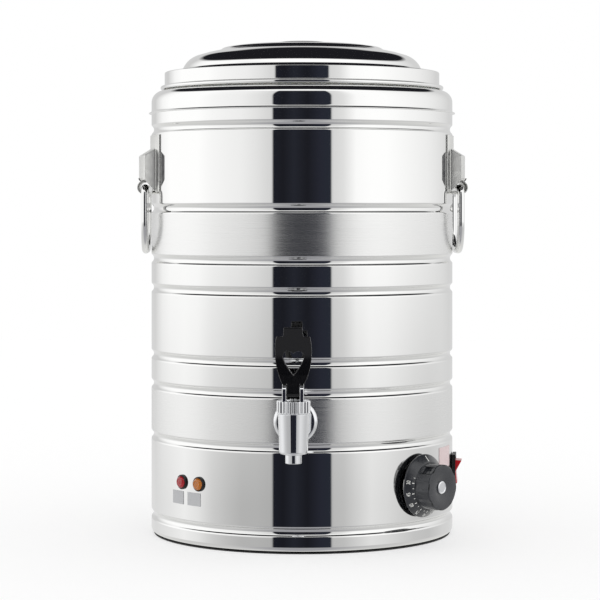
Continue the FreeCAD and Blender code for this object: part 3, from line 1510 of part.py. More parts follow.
def lid_foam():
    side = liner_wall - d.lid_sheet - d.foam_gap
    top = dish_floor - d.lid_sheet - d.foam_gap
    body = upright("lid_foam", [
        (0, d.liner_floor + d.foam_gap), (side - 5, d.liner_floor + d.foam_gap),
        (side, d.liner_floor + 5 + d.foam_gap), (side, d.lid_band_top - 3),
        (d.dome_foot_radius - 2, d.lid_band_top - 1), (d.dome_foot_radius - 5, top),
        (d.lid_screw_radius + 5, top), (d.lid_screw_radius + 5, top - 7), (0, top - 7)])
    keep(body, "lid_foam")


def lid_gasket():
    keep(upright("lid_gasket", [
        (liner_wall + d.foam_gap, lid_seat), (d.lid_band_radius, lid_seat),
        (d.lid_band_radius, liner_rim_under - 0.5), (d.lid_band_radius - 0.5, liner_rim_under),
        (liner_wall + 2 + d.foam_gap, liner_rim_under)]), "lid_gasket")


def lid_knob():
    """The low mushroom knob that stands in the lid's dish."""
    neck, head, top = d.lid_knob_neck, d.lid_knob_radius, d.lid_knob_top
    bore, bore_top = d.lid_screw_radius, d.lid_knob_top - 8
    crown = ((head - 5) * (head - 5) + 1) / 2
    keep(upright("lid_knob", [
        (bore, dish_floor), (neck + 2, dish_floor), (neck, dish_floor + 3, -8), (neck + 6, top - 11),
        (head - 2, top - 7.4, 2.4), (head, top - 5, 5.4), (head - 5, top - 1, crown), (0, top),
        (0, bore_top), (bore, bore_top)]), "lid_knob")


def lid_screw():
    radius, under = d.lid_screw_radius, dish_floor - d.lid_sheet
    keep(upright("lid_screw", [
        (0, under - 4), (radius * 1.8, under - 4), (radius * 1.8, under), (radius, under),
        (radius, d.lid_knob_top - 9), (0, d.lid_knob_top - 9)]), "lid_screw")


outer_shell()
shoulder_ring()
inner_pot()
foam_jacket()
base_ring()
base_plate()
corners = [45, 135, 225, 315]
group_of("base_brackets", [lambda a=a: base_bracket(a) for a in corners])
group_of("base_screws", [lambda a=a: base_screw(a) for a in corners])
heating_plate()
heating_element()
heater_clamp()
heater_stud()
nut_feet = [
    clamp_under - d.stud_nut_thickness, shield_top, d.shield_height - d.stud_nut_thickness]
group_of("heater_nuts", [lambda f=f: stud_nut(f) for f in nut_feet])
heat_shield()
thermal_cutout()
thermostat_body()
dial_bezel()
group_of("thermostat_screws", [lambda s=s: thermostat_screw(s) for s in (-1, 1)])
thermostat_knob()
knob_cap()
thermostat_shaft()
capillary_and_bulb()
switch_housing()
rocker()
lamp_angles = [d.red_lamp_angle, d.amber_lamp_angle]
group_of("lamp_bodies", [lambda a=a: lamp_body(a) for a in lamp_angles])
lamp_lens("red_lens", d.red_lamp_angle)
lamp_lens("amber_lens", d.amber_lamp_angle)
group_of("lamp_labels", [lambda a=a: lamp_label(a) for a in lamp_angles])
side_label()
cable_gland()
gland_nut()
terminal_block()
earth_stud()
wiring_loom()
tap_flange()
tap_nut()
tap_shank_parts()
tap_body()
tap_bonnet()
cross_rod("lever_pin", -d.pivot_offset, d.pivot_radius, cheek_outer - 0.4)
valve_stem()
valve_cup()
cross_rod("cross_pin", as_size(0), d.cross_pin_radius, d.tongue_width - 0.6)
valve_spring()
tap_lever()
for name, angle in (("right", 0), ("left", 180)):
    handle_bracket("handle_bracket_" + name, angle + d.handle_turn.number)
    bail("bail_" + name, angle + d.handle_turn.number)
lid_dome()
lid_liner()
lid_foam()
lid_gasket()
lid_knob()
lid_screw()

doc.recompute()
for item in doc.Objects:
    faults = [state for state in item.State if state in ("Invalid", "Error")]
    if faults:
        raise RuntimeError(f"{item.Label}: {faults}")
for part in parts:
    if part.Shape.isNull() or not part.Shape.isValid() or part.Shape.Volume <= 0:
        raise RuntimeError(f"{part.Label}: no valid solid")

os.makedirs("parts", exist_ok=True)
for part in parts:
    part.Shape.exportStep(f"parts/{part.Label}.step")
    print(f"{part.Label}: {len(part.Shape.Solids)} solid(s), {part.Shape.Volume:.1f} mm3")
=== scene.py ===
"""Hot water urn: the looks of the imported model, piece by piece, in the order it is put together.

Sizes are millimetres and are turned to metres by MM where a mesh is made. The frame is the
model's own: +Z up, the tap towards -Y, the barrel's axis at the origin.
"""
import math

import bmesh
import bpy
from mathutils import Matrix, Vector


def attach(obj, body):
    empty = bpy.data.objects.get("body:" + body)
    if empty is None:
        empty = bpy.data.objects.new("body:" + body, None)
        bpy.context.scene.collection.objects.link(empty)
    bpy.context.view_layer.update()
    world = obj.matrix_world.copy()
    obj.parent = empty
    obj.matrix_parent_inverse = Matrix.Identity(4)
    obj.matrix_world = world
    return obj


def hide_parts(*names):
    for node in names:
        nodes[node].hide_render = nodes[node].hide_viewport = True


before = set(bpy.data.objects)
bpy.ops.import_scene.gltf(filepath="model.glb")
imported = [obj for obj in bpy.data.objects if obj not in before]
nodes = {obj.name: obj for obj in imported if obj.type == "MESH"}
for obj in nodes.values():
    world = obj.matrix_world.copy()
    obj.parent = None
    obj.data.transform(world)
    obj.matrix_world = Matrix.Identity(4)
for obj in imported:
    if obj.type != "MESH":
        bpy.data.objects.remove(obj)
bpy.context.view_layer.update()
MM = 0.001

# Camera
# The photograph looks level at the urn from about 2.1 m and 2.3 degrees to the right of the tap.
# A long lens with vertical shift keeps the barrel's sides upright, as in a product shot.
CAMERA_DISTANCE = 2130
CAMERA_HEIGHT = 325
CAMERA_TURN = math.radians(2.3)
camera_data = bpy.data.cameras.new("camera")
camera_data.sensor_width = 36
camera_data.lens = 127.8
camera_data.shift_x = -0.0033
camera_data.shift_y = -0.158
camera = bpy.data.objects.new("camera", camera_data)
camera.location = (CAMERA_DISTANCE * MM * math.sin(CAMERA_TURN),
                   -CAMERA_DISTANCE * MM * math.cos(CAMERA_TURN), CAMERA_HEIGHT * MM)
camera.rotation_euler = (math.radians(90), 0, CAMERA_TURN)
bpy.context.scene.collection.objects.link(camera)
bpy.context.scene.camera = camera
bpy.context.scene.view_settings.view_transform = "Standard"


# Studio
# A white tent round the urn: white panels at both sides, a bright roof with an unlit hole over the
# lid, a pale table, and a dark opening in front, which shows as the black stripe on the steel.
def linear(code):
    """The linear colour of an sRGB hex value."""
    parts = [int(code[i:i + 2], 16) / 255 for i in (0, 2, 4)]
    return (*(c / 12.92 if c <= 0.04045 else ((c + 0.055) / 1.055) ** 2.4 for c in parts), 1.0)


def add(tree, kind, links=None, stops=(), **settings):
    """Adds a node. Links are its inputs: values, sockets, or nodes for their first output.

    Settings are its properties, and stops are the (position, sRGB hex) pairs of a colour ramp."""
    node = tree.nodes.new(kind)
    for name, value in settings.items():
        setattr(node, name, value)
    for name, value in (links or {}).items():
        if isinstance(value, bpy.types.Node):
            value = value.outputs[0]
        if isinstance(value, bpy.types.NodeSocket):
            tree.links.new(value, node.inputs[name])
        else:
            node.inputs[name].default_value = value
    if stops:
        points = node.color_ramp.elements
        while len(points) > 1:
            points.remove(points[-1])
        points[0].position, points[0].color = stops[0][0], linear(stops[0][1])
        for place, code in stops[1:]:
            points.new(place).color = linear(code)
    return node


OPENING_HALF = 22.0
OPENING_TOP = 46.0
OPENING_EDGE = 0.6
OPENING_FADE = 8.0
TABLE_EDGE = -13.0
TABLE_FADE = 5.0
LOW_PANELS = -8.0
SKYLIGHT = (0.0, 0.34, 0.94)
SKYLIGHT_RIM = 0.68
SKYLIGHT_FADE = 0.05
TENT_STRENGTH = 1.18


def bearing(degrees):
    """A direction's place on a ramp that starts and ends behind the urn, with the camera at 0.5."""
    return 0.5 + degrees / 360


world = bpy.data.worlds.new("studio")
world.use_nodes = True
bpy.context.scene.world = world
sky = world.node_tree
sky.nodes.clear()
heading = add(sky, "ShaderNodeTexCoord").outputs["Generated"]
direction = add(sky, "ShaderNodeSeparateXYZ", {0: heading})
ahead = add(sky, "ShaderNodeMath", {0: direction.outputs["Y"], 1: -1.0}, operation="MULTIPLY")
turn = add(sky, "ShaderNodeMath", {0: direction.outputs["X"], 1: ahead}, operation="ARCTAN2")
swung = add(sky, "ShaderNodeMath", {0: turn, 1: CAMERA_TURN}, operation="SUBTRACT")
turns = add(sky, "ShaderNodeMath", {0: swung, 1: 2 * math.pi}, operation="DIVIDE")
around = add(sky, "ShaderNodeMath", {0: turns, 1: 0.5}, operation="ADD")
rise = add(sky, "ShaderNodeMath", {0: direction.outputs["Z"]}, operation="ARCSINE")
lift = add(sky, "ShaderNodeMath", {0: rise}, operation="DEGREES")
panels = add(sky, "ShaderNodeValToRGB", {"Fac": around}, stops=[
    (bearing(-180), "C6C6C6"), (bearing(-150), "C6C6C6"), (bearing(-132), "F1F1F1"),
    (bearing(-119), "FBFBFB"), (bearing(-85), "FBFBFB"), (bearing(-71), "F3F3F3"),
    (bearing(-58), "EEEEEE"), (bearing(-46), "EAEAEA"), (bearing(-34), "DFDFDF"),
    (bearing(-25), "D3D3D3"), (bearing(25), "D3D3D3"), (bearing(31), "DBDBDB"),
    (bearing(41), "F7F7F7"), (bearing(53), "FBFBFB"), (bearing(66), "FBFBFB"), (bearing(79), "F6F6F6"),
    (bearing(94), "F0F0F0"), (bearing(111), "E9E9E9"), (bearing(133), "DADADA"),
    (bearing(150), "CBCBCB"), (bearing(180), "C6C6C6")])
low_panels = add(sky, "ShaderNodeValToRGB", {"Fac": around}, stops=[
    (bearing(-180), "D1D1D1"), (bearing(-146), "D3D3D3"), (bearing(-119), "DFDFDF"),
    (bearing(-100), "E9E9E9"), (bearing(-85), "DFDFDF"), (bearing(-71), "C8C8C8"),
    (bearing(-58), "BABABA"), (bearing(-46), "AFAFAF"), (bearing(-34), "AEAEAE"),
    (bearing(-25), "AAAAAA"), (bearing(25), "B6B6B6"), (bearing(31), "B9B9B9"),
    (bearing(41), "CACACA"), (bearing(53), "DBDBDB"), (bearing(66), "D5D5D5"), (bearing(79), "CBCBCB"),
    (bearing(94), "C0C0C0"), (bearing(111), "BCBCBC"), (bearing(133), "CBCBCB"),
    (bearing(180), "D1D1D1")])
low_share = add(sky, "ShaderNodeMath", {0: lift, 1: 1 / LOW_PANELS}, operation="MULTIPLY", use_clamp=True)
# The colours of a Mix node are its inputs 6 and 7, and output 2 is their mix.
walls = add(sky, "ShaderNodeMix", {0: low_share, 6: panels, 7: low_panels}, data_type="RGBA").outputs[2]
opening = add(sky, "ShaderNodeValToRGB", {"Fac": around}, stops=[
    (bearing(-OPENING_HALF - OPENING_EDGE), "000000"), (bearing(-OPENING_HALF + OPENING_EDGE), "FFFFFF"),
    (bearing(OPENING_HALF - OPENING_EDGE), "FFFFFF"), (bearing(OPENING_HALF + OPENING_EDGE), "000000")])
dark = add(sky, "ShaderNodeValToRGB", {"Fac": around}, stops=[
    (bearing(-OPENING_HALF), "1C1E26"), (bearing(-14), "191A20"), (bearing(-6), "22242C"),
    (bearing(4), "191A20"), (bearing(14), "242630"), (bearing(OPENING_HALF), "252932")])
front = add(sky, "ShaderNodeMix", {0: opening, 6: walls, 7: dark}, data_type="RGBA").outputs[2]
over_opening = add(sky, "ShaderNodeMath", {0: lift, 1: OPENING_TOP}, operation="SUBTRACT")
roof_share = add(sky, "ShaderNodeMath", {0: over_opening, 1: 1 / OPENING_FADE}, operation="MULTIPLY",
                 use_clamp=True)
roof = add(sky, "ShaderNodeMix", {0: roof_share, 6: front, 7: linear("FFFFFF")}, data_type="RGBA").outputs[2]
high = add(sky, "ShaderNodeVectorMath", {0: heading, 1: SKYLIGHT}, operation="DOT_PRODUCT").outputs["Value"]
inside_rim = add(sky, "ShaderNodeMath", {0: high, 1: SKYLIGHT_RIM}, operation="SUBTRACT")
skylight = add(sky, "ShaderNodeMath", {0: inside_rim, 1: 1 / SKYLIGHT_FADE}, operation="MULTIPLY",
               use_clamp=True)
above = add(sky, "ShaderNodeMix", {0: skylight, 6: roof, 7: linear("1A1A1E")}, data_type="RGBA").outputs[2]
under_edge = add(sky, "ShaderNodeMath", {0: TABLE_EDGE, 1: lift}, operation="SUBTRACT")
table_share = add(sky, "ShaderNodeMath", {0: under_edge, 1: 1 / TABLE_FADE}, operation="MULTIPLY",
                  use_clamp=True)
table = add(sky, "ShaderNodeValToRGB", {"Fac": around}, stops=[
    (bearing(-180), "D8D8D6"), (bearing(-60), "BEBEBE"), (bearing(-20), "96969A"),
    (bearing(20), "96969A"), (bearing(60), "BEBEBE"), (bearing(180), "D8D8D6")])
seen = add(sky, "ShaderNodeMix", {0: table_share, 6: above, 7: table}, data_type="RGBA").outputs[2]
tent = add(sky, "ShaderNodeBackground", {"Color": seen, "Strength": TENT_STRENGTH})
plain = add(sky, "ShaderNodeBackground", {"Color": (1, 1, 1, 1), "Strength": 1.0})
ray = add(sky, "ShaderNodeLightPath")
choice = add(sky, "ShaderNodeMixShader", {0: ray.outputs["Is Glossy Ray"], 1: plain, 2: tent})
add(sky, "ShaderNodeOutputWorld", {"Surface": choice})


NOISE_LOW, NOISE_HIGH = 0.3, 0.7


def finish(name, colour, mottle=None, gloss=None, dents=None, **sockets):
    """A material of one Principled shader. Its sockets are named with _ for a space.

    Mottle is (grain, low hex, high hex), gloss is (grain, low, high) roughness, and dents are (grain, depth
    in mm, strength). A grain is (size in mm, detail), and a third value squeezes it along the axes."""
    made = bpy.data.materials.new(name)
    made.use_nodes = True
    tree = made.node_tree
    tree.nodes.clear()
    values = {socket.replace("_", " "): value for socket, value in sockets.items()}
    shader = add(tree, "ShaderNodeBsdfPrincipled", {"Base Color": linear(colour), **values})
    add(tree, "ShaderNodeOutputMaterial", {"Surface": shader})
    for target, pattern in (("Base Color", mottle), ("Roughness", gloss), ("Normal", dents)):
        if pattern is None:
            continue
        grain, low, high = pattern
        size, detail, squeeze = (*grain, (1, 1, 1))[:3]
        spot = add(tree, "ShaderNodeTexCoord").outputs["Object"]
        place = add(tree, "ShaderNodeMapping", {"Vector": spot, "Scale": squeeze})
        noise = add(tree, "ShaderNodeTexNoise", {
            "Vector": place, "Scale": 1 / (size * MM), "Detail": detail})
        if target == "Base Color":
            made_of = {0: noise, 6: linear(low), 7: linear(high)}
            result = add(tree, "ShaderNodeMix", made_of, data_type="RGBA").outputs[2]
        elif target == "Roughness":
            result = add(tree, "ShaderNodeMapRange", {
                "Value": noise, "From Min": NOISE_LOW, "From Max": NOISE_HIGH,
                "To Min": low, "To Max": high}).outputs[0]
        else:
            result = add(tree, "ShaderNodeBump", {
                "Height": noise, "Distance": low * MM, "Strength": high}).outputs[0]
        tree.links.new(result, shader.inputs[target])
    return made


# Table
# A lit white sweep: it takes only the urn's soft shadow, and the steel does not mirror it. It is
# matt paper, half lit from behind, which keeps the shadow pale.
FLOOR_HALF = 3000


def shown(name, mesh):
    """A new object of the scene, at the origin, with this mesh."""
    piece = bpy.data.objects.new(name, mesh)
    bpy.context.scene.collection.objects.link(piece)
    return piece


table_mesh = bpy.data.meshes.new("table_top")
corners = [(x * FLOOR_HALF * MM, y * FLOOR_HALF * MM, 0) for x, y in ((-1, -1), (1, -1), (1, 1), (-1, 1))]
table_mesh.from_pydata(corners, [], [(0, 1, 2, 3)])
paper = finish("white_paper", "BCBCBC", Roughness=0.9, Specular_IOR_Level=0.0,
               Emission_Color=(1, 1, 1, 1), Emission_Strength=0.5)
tree = paper.node_tree
ray = add(tree, "ShaderNodeLightPath")
clear = add(tree, "ShaderNodeBsdfTransparent")
hidden = add(tree, "ShaderNodeMixShader", {
    0: ray.outputs["Is Glossy Ray"], 1: tree.nodes["Principled BSDF"], 2: clear})
tree.links.new(hidden.outputs[0], tree.nodes["Material Output"].inputs["Surface"])
table_mesh.materials.append(paper)
floor = shown("table_top", table_mesh)


# Barrel wall
# One sheet of stainless steel, rolled round, seam welded and beaded. It is mirror polished, but
# two bands are satin: fine polishing lines run round them and soften what they mirror.
def arc_points(start, end, radius, step=12):
    """Points of the short arc from start to end, without start. It turns left for a positive radius."""
    chord = end - start
    half = min(chord.length / 2 / abs(radius), 1.0)
    swing = math.copysign(2 * math.asin(half), radius)
    side = Vector((-chord.y, chord.x)).normalized()
    centre = (start + end) / 2 + side * math.copysign(abs(radius) * math.sqrt(1 - half * half), radius)
    count = max(2, math.ceil(abs(math.degrees(swing)) / step))
    return [centre + Matrix.Rotation(swing * i / count, 2) @ (start - centre) for i in range(1, count + 1)]


def line_of(path, step=12, guard=0.3):
    """The points of a path of (across, up) or (across, up, radius of the arc to the next).

    A straight run has a point close to each end, which keeps its middle flat under smooth shading."""
    points = [Vector(path[0][:2])]
    for here, there in zip(path, path[1:]):
        start, end = Vector(here[:2]), Vector(there[:2])
        if len(here) > 2:
            points += arc_points(start, end, here[2], step)
            continue
        run = (end - start).length
        if run > 4 * guard:
            points += [start.lerp(end, guard / run), start.lerp(end, 1 - guard / run)]
        points.append(end)
    return points


def sheet(path, thickness, step=12):
    """The closed outline of a sheet that follows an open path, its thickness to the left."""
    outer = line_of(path, step)
    inner = []
    for index, point in enumerate(outer):
        before = outer[max(index - 1, 0)]
        after = outer[min(index + 1, len(outer) - 1)]
        along = (after - before).normalized()
        inner.append(point + Vector((-along.y, along.x)) * thickness)
    return outer + inner[::-1] + [outer[0]]


def interface(tree, **sockets):
    """Gives a Geometry Nodes tree its Geometry in and out and one named input for each size."""
    tree.interface.new_socket("Geometry", in_out="INPUT", socket_type="NodeSocketGeometry")
    tree.interface.new_socket("Geometry", in_out="OUTPUT", socket_type="NodeSocketGeometry")
    for name, kind in sockets.items():
        tree.interface.new_socket(name.replace("_", " "), in_out="INPUT", socket_type="NodeSocket" + kind)
    return add(tree, "NodeGroupInput").outputs


WELD = 0.004
lathe = bpy.data.node_groups.new("lathe", "GeometryNodeTree")
sizes = interface(lathe, Segments="Int", Flutes="Float", Flute_Depth="Float", Flute_Foot="Float",
                  Flute_Top="Float", Flute_Sharpness="Float", Material="Material")
count = add(lathe, "GeometryNodeAttributeDomainSize", {0: sizes["Geometry"]}).outputs["Point Count"]
rows = add(lathe, "ShaderNodeMath", {0: count, 1: -1.0}, operation="ADD")
columns = add(lathe, "ShaderNodeMath", {0: sizes["Segments"], 1: 1.0}, operation="ADD")
grid = add(lathe, "GeometryNodeMeshGrid", {
    "Size X": 1.0, "Size Y": 1.0, "Vertices X": count, "Vertices Y": columns})
spot = add(lathe, "ShaderNodeSeparateXYZ", {0: add(lathe, "GeometryNodeInputPosition")})
along = add(lathe, "ShaderNodeMath", {0: spot.outputs["X"], 1: 0.5}, operation="ADD")
row = add(lathe, "ShaderNodeMath", {0: along, 1: rows}, operation="MULTIPLY")
row = add(lathe, "ShaderNodeMath", {0: row}, operation="ROUND")
round_share = add(lathe, "ShaderNodeMath", {0: spot.outputs["Y"], 1: 0.5}, operation="ADD")
angle = add(lathe, "ShaderNodeMath", {0: round_share, 1: 2 * math.pi}, operation="MULTIPLY")
outline_spot = add(lathe, "GeometryNodeInputPosition")
sample = add(lathe, "GeometryNodeSampleIndex", {
    "Geometry": sizes["Geometry"], "Value": outline_spot, "Index": row},
    data_type="FLOAT_VECTOR", domain="POINT")
profile = add(lathe, "ShaderNodeSeparateXYZ", {0: sample})
flute_angle = add(lathe, "ShaderNodeMath", {0: angle, 1: sizes["Flutes"]}, operation="MULTIPLY")
wave = add(lathe, "ShaderNodeMath", {0: flute_angle}, operation="COSINE")
wave = add(lathe, "ShaderNodeMath", {0: wave, 1: 0.5, 2: 0.5}, operation="MULTIPLY_ADD")
cut = add(lathe, "ShaderNodeMath", {0: wave, 1: sizes["Flute Sharpness"]}, operation="POWER")
up = profile.outputs["Z"]
over = add(lathe, "ShaderNodeMath", {0: up, 1: sizes["Flute Foot"]}, operation="GREATER_THAN")
under = add(lathe, "ShaderNodeMath", {0: up, 1: sizes["Flute Top"]}, operation="LESS_THAN")
between = add(lathe, "ShaderNodeMath", {0: over, 1: under}, operation="MULTIPLY")
depth = add(lathe, "ShaderNodeMath", {0: cut, 1: sizes["Flute Depth"]}, operation="MULTIPLY")
depth = add(lathe, "ShaderNodeMath", {0: depth, 1: between}, operation="MULTIPLY")
reach = add(lathe, "ShaderNodeMath", {0: profile.outputs["X"], 1: depth}, operation="SUBTRACT")
cosine = add(lathe, "ShaderNodeMath", {0: angle}, operation="COSINE")
sine = add(lathe, "ShaderNodeMath", {0: angle}, operation="SINE")
across = add(lathe, "ShaderNodeMath", {0: reach, 1: cosine}, operation="MULTIPLY")
back = add(lathe, "ShaderNodeMath", {0: reach, 1: sine}, operation="MULTIPLY")
turned_spot = add(lathe, "ShaderNodeCombineXYZ", {"X": across, "Y": back, "Z": up})
shaped = add(lathe, "GeometryNodeSetPosition", {"Geometry": grid, "Position": turned_spot})
welded = add(lathe, "GeometryNodeMergeByDistance", {"Geometry": shaped, "Distance": WELD * MM})
soft = add(lathe, "GeometryNodeSetShadeSmooth", {"Geometry": welded})
real = add(lathe, "GeometryNodeRealizeInstances", {"Geometry": soft})
faced = add(lathe, "GeometryNodeSetMaterial", {"Geometry": real, "Material": sizes["Material"]})
add(lathe, "NodeGroupOutput", {"Geometry": faced})


def applied(draft):
    """The mesh that a draft has once its modifiers are run. The draft is removed."""
    bpy.context.view_layer.update()
    mesh = bpy.data.meshes.new_from_object(draft.evaluated_get(bpy.context.evaluated_depsgraph_get()))
    bpy.data.objects.remove(draft)
    return mesh


def coated(mesh, material):
    """Gives a whole mesh one material."""
    mesh.materials.clear()
    mesh.materials.append(material)
    mesh.polygons.foreach_set("material_index", [0] * len(mesh.polygons))


def placed(name, mesh, place=None):
    """A new object with this mesh, moved to its place, its faces outward and shaded smooth."""
    mesh.name = name
    if place is not None:
        mesh.transform(place)
    shape = bmesh.new()
    shape.from_mesh(mesh)
    bmesh.ops.recalc_face_normals(shape, faces=shape.faces)
    shape.to_mesh(mesh)
    shape.free()
    mesh.shade_smooth()
    return shown(name, mesh)


def grown(name, base, tree, material, place=None, **inputs):
    """Runs a Geometry Nodes tree on a base mesh and keeps its result as a plain mesh, faces outward."""
    seed = shown(name + "_seed", base)
    modifier = seed.modifiers.new("grow", "NODES")
    modifier.node_group = tree
    values = {"Material": material, **{key.replace("_", " "): value for key, value in inputs.items()}}
    for item in tree.interface.items_tree:
        if item.in_out == "INPUT" and item.name in values:
            modifier[item.identifier] = values[item.name]
    mesh = applied(seed)
    coated(mesh, material)
    return placed(name, mesh, place)


def turned(name, points, material, place=None, segments=256, flutes=(0, 0, 0, 0, 1)):
    """A piece turned about Z from an outline of (radius, height) points in millimetres.

    Flutes are (count, depth, foot, top, sharpness)."""
    count, depth, foot, top, sharpness = flutes
    base = bpy.data.meshes.new(name + "_outline")
    steps = [(i, i + 1) for i in range(len(points) - 1)]
    base.from_pydata([(p[0] * MM, 0, p[1] * MM) for p in points], steps, [])
    return grown(name, base, lathe, material, place, Segments=segments, Flutes=float(count),
                 Flute_Depth=depth * MM, Flute_Foot=foot * MM, Flute_Top=top * MM,
                 Flute_Sharpness=float(sharpness))


def stands_for(piece, body, slot, *replaced):
    """The piece rides on a body and stands for CAD nodes, which are hidden. The slot is not used."""
    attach(piece, body)
    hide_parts(*replaced)
    return piece


BARREL = 150.0
SHELL_SHEET = 0.8
SEAM_HEIGHT = 416.6
SOLE = 1.5
HEM_RADIUS = 5.0
HEM_REACH = 11.0
BEAD_WIDTH, BEAD_DEPTH, BEAD_EDGE = 10.4, 2.4, 2.2
BEADS = [20.5, 98.6, 149.0, 178.0, 243.6, 272.5, 322.0, 400.0]
SATIN_BANDS = [(98.6, 149.0), (272.5, 322.0)]


def bead(height):
    """One inward bead: two soft edges and a round bottom, all tangent."""
    full = (BEAD_WIDTH ** 2 / 4 + BEAD_DEPTH ** 2) / (2 * BEAD_DEPTH)
    inset = BARREL - BEAD_EDGE * BEAD_DEPTH / full
    rise = BEAD_EDGE * BEAD_WIDTH / 2 / full
    low, high = height - BEAD_WIDTH / 2, height + BEAD_WIDTH / 2
    return [(BARREL, low, BEAD_EDGE), (inset, low + rise, BEAD_EDGE - full),
            (inset, high - rise, BEAD_EDGE), (BARREL, high)]


# Mirror-polished sheet: it shows the panels sharply, and long shallow waves bend them a little.
POLISH = 0.03
SHEET_WAVES = ((111.1, 1.0, (1, 1, 0.25)), 0.4, 0.25)
mirror = finish("polished_stainless", "F0F0EF", dents=SHEET_WAVES, Metallic=1.0, Roughness=POLISH)
# The same sheet with two satin bands, whose lines, 0.4 mm apart up the wall, blur what they mirror.
SATIN_LINES = (50 / 3, 3.0, (0.3, 0.3, 40))
wall_steel = finish("polished_stainless_with_satin_bands", "F0F0EF", dents=SHEET_WAVES,
                    gloss=(SATIN_LINES, 0.19, 0.25), Metallic=1.0)
tree = wall_steel.node_tree
shine = tree.nodes["Principled BSDF"].inputs["Roughness"]
spot = add(tree, "ShaderNodeTexCoord").outputs["Object"]
height = add(tree, "ShaderNodeSeparateXYZ", {0: spot}).outputs["Z"]
satin = 0.0
for low, high in SATIN_BANDS:
    foot, top = (low + BEAD_WIDTH / 2) * MM, (high - BEAD_WIDTH / 2) * MM
    over = add(tree, "ShaderNodeMath", {0: height, 1: foot}, operation="GREATER_THAN")
    under = add(tree, "ShaderNodeMath", {0: height, 1: top}, operation="LESS_THAN")
    inside = add(tree, "ShaderNodeMath", {0: over, 1: under}, operation="MULTIPLY")
    satin = add(tree, "ShaderNodeMath", {0: inside, 1: satin}, operation="ADD")
roughness = add(tree, "ShaderNodeMath", {0: satin, 1: shine.links[0].from_socket, 2: POLISH},
                operation="MULTIPLY_ADD")
tree.links.new(roughness.outputs[0], shine)

path = [(BARREL - HEM_REACH, SOLE), (BARREL - HEM_RADIUS, SOLE, HEM_RADIUS), (BARREL, SOLE + HEM_RADIUS)]
for height in BEADS:
    path += bead(height)
path.append((BARREL, SEAM_HEIGHT))
barrel_wall = turned("barrel_wall", sheet(path, SHELL_SHEET), wall_steel, segments=360)
stands_for(barrel_wall, "urn", "mirror_steel", "outer_shell")

# Foot ring
# A black rubber channel pushed over the barrel's hem. It has soft edges and a dull face.

# Moulded rubber: matt, with a fine grain that breaks up its shine.
rubber = finish("black_rubber", "1B1B1C", dents=((1.111, 2.0), 0.3, 0.4), Roughness=0.62)
RING_INNER = 136.0
RING_TOP = 3.5
web = BARREL - HEM_REACH - 0.1
lip = BARREL - 1.5 * HEM_RADIUS
ring = line_of([(RING_INNER, 0.6, 0.6), (RING_INNER + 0.6, 0), (BARREL - HEM_RADIUS / 2 - 0.6, 0, 0.6),
                (BARREL - HEM_RADIUS / 2, 0.6), (BARREL - HEM_RADIUS / 2, SOLE - 0.1), (web, SOLE - 0.1),
                (web, SOLE + SHELL_SHEET + 0.1), (lip, SOLE + SHELL_SHEET + 0.1), (lip, RING_TOP - 0.5, 0.5),
                (lip - 0.5, RING_TOP), (RING_INNER + 0.5, RING_TOP, 0.5), (RING_INNER, RING_TOP - 0.5),
                (RING_INNER, 0.6)])
foot_ring = turned("foot_ring", ring, rubber)
stands_for(foot_ring, "urn", "black_rubber", "base_ring")

# Shoulder ring
# The pressed top ring, crimped over the barrel's upper edge and rounded in to the pot's mouth. It is
# polished like the barrel.
MOUTH = 438.5
SHOULDER = 11.5
SEAM_FLARE = 2.6
POT = 132.0
shoulder_path = [(BARREL + SEAM_FLARE, SEAM_HEIGHT, -SEAM_FLARE), (BARREL, SEAM_HEIGHT + SEAM_FLARE),
                 (BARREL, MOUTH - SHOULDER, SHOULDER), (BARREL - SHOULDER, MOUTH), (POT + 0.4, MOUTH)]
shoulder = turned("shoulder_ring_polished", sheet(shoulder_path, SHELL_SHEET, 8), mirror, segments=360)
stands_for(shoulder, "urn", "mirror_steel", "shoulder_ring")

# Lid
# A spun stainless skin over foam: a beaded lip, an upright band, a dome with a raised crown and a
# dish in its middle, where a low mushroom knob stands.
LID_SHEET = 0.8
LIP, BAND = 141.0, 137.0
LIP_FOOT, LIP_RISE = 439.6, 3.8
BAND_TOP = 457.0
DOME_FOOT, DOME_FOOT_HEIGHT = 117.5, 460.2
DOME_EDGE, DOME_EDGE_HEIGHT = 106.0, 473.2
STEP, STEP_HEIGHT = 86.0, 478.4
CROWN, CROWN_HEIGHT = 71.0, 482.6
DISH, DISH_FLOOR = 55.0, 466.0
KNOB_HOLE = 3.4
bend = LIP_RISE / 2 - 0.3
lid_path = [
    (LIP - 2.8, LIP_FOOT), (LIP - bend, LIP_FOOT, bend), (LIP, LIP_FOOT + bend),
    (LIP, LIP_FOOT + LIP_RISE - bend, bend), (LIP - bend, LIP_FOOT + LIP_RISE),
    (BAND + 1, LIP_FOOT + LIP_RISE, -1), (BAND, LIP_FOOT + LIP_RISE + 1), (BAND, BAND_TOP - 1.2, 1.2),
    (BAND - 1.2, BAND_TOP), (DOME_FOOT + 4, DOME_FOOT_HEIGHT - 1.6, -3),
    (DOME_FOOT + 1.5, DOME_FOOT_HEIGHT + 0.2, 22),
    (DOME_EDGE, DOME_EDGE_HEIGHT, 160), (STEP, STEP_HEIGHT, -12), (STEP - 4.5, STEP_HEIGHT + 1.2, 8),
    (CROWN + 4, CROWN_HEIGHT - 0.6, 80), (DISH + 3, CROWN_HEIGHT + 1.4, 3),
    (DISH, CROWN_HEIGHT - 1.6), (DISH - 2, DISH_FLOOR + 4, -4), (DISH - 6, DISH_FLOOR),
    (KNOB_HOLE, DISH_FLOOR)]
lid_skin = turned("lid_skin", sheet(lid_path, LID_SHEET, 6), mirror, segments=360)
stands_for(lid_skin, "lid", "mirror_steel", "lid_dome")

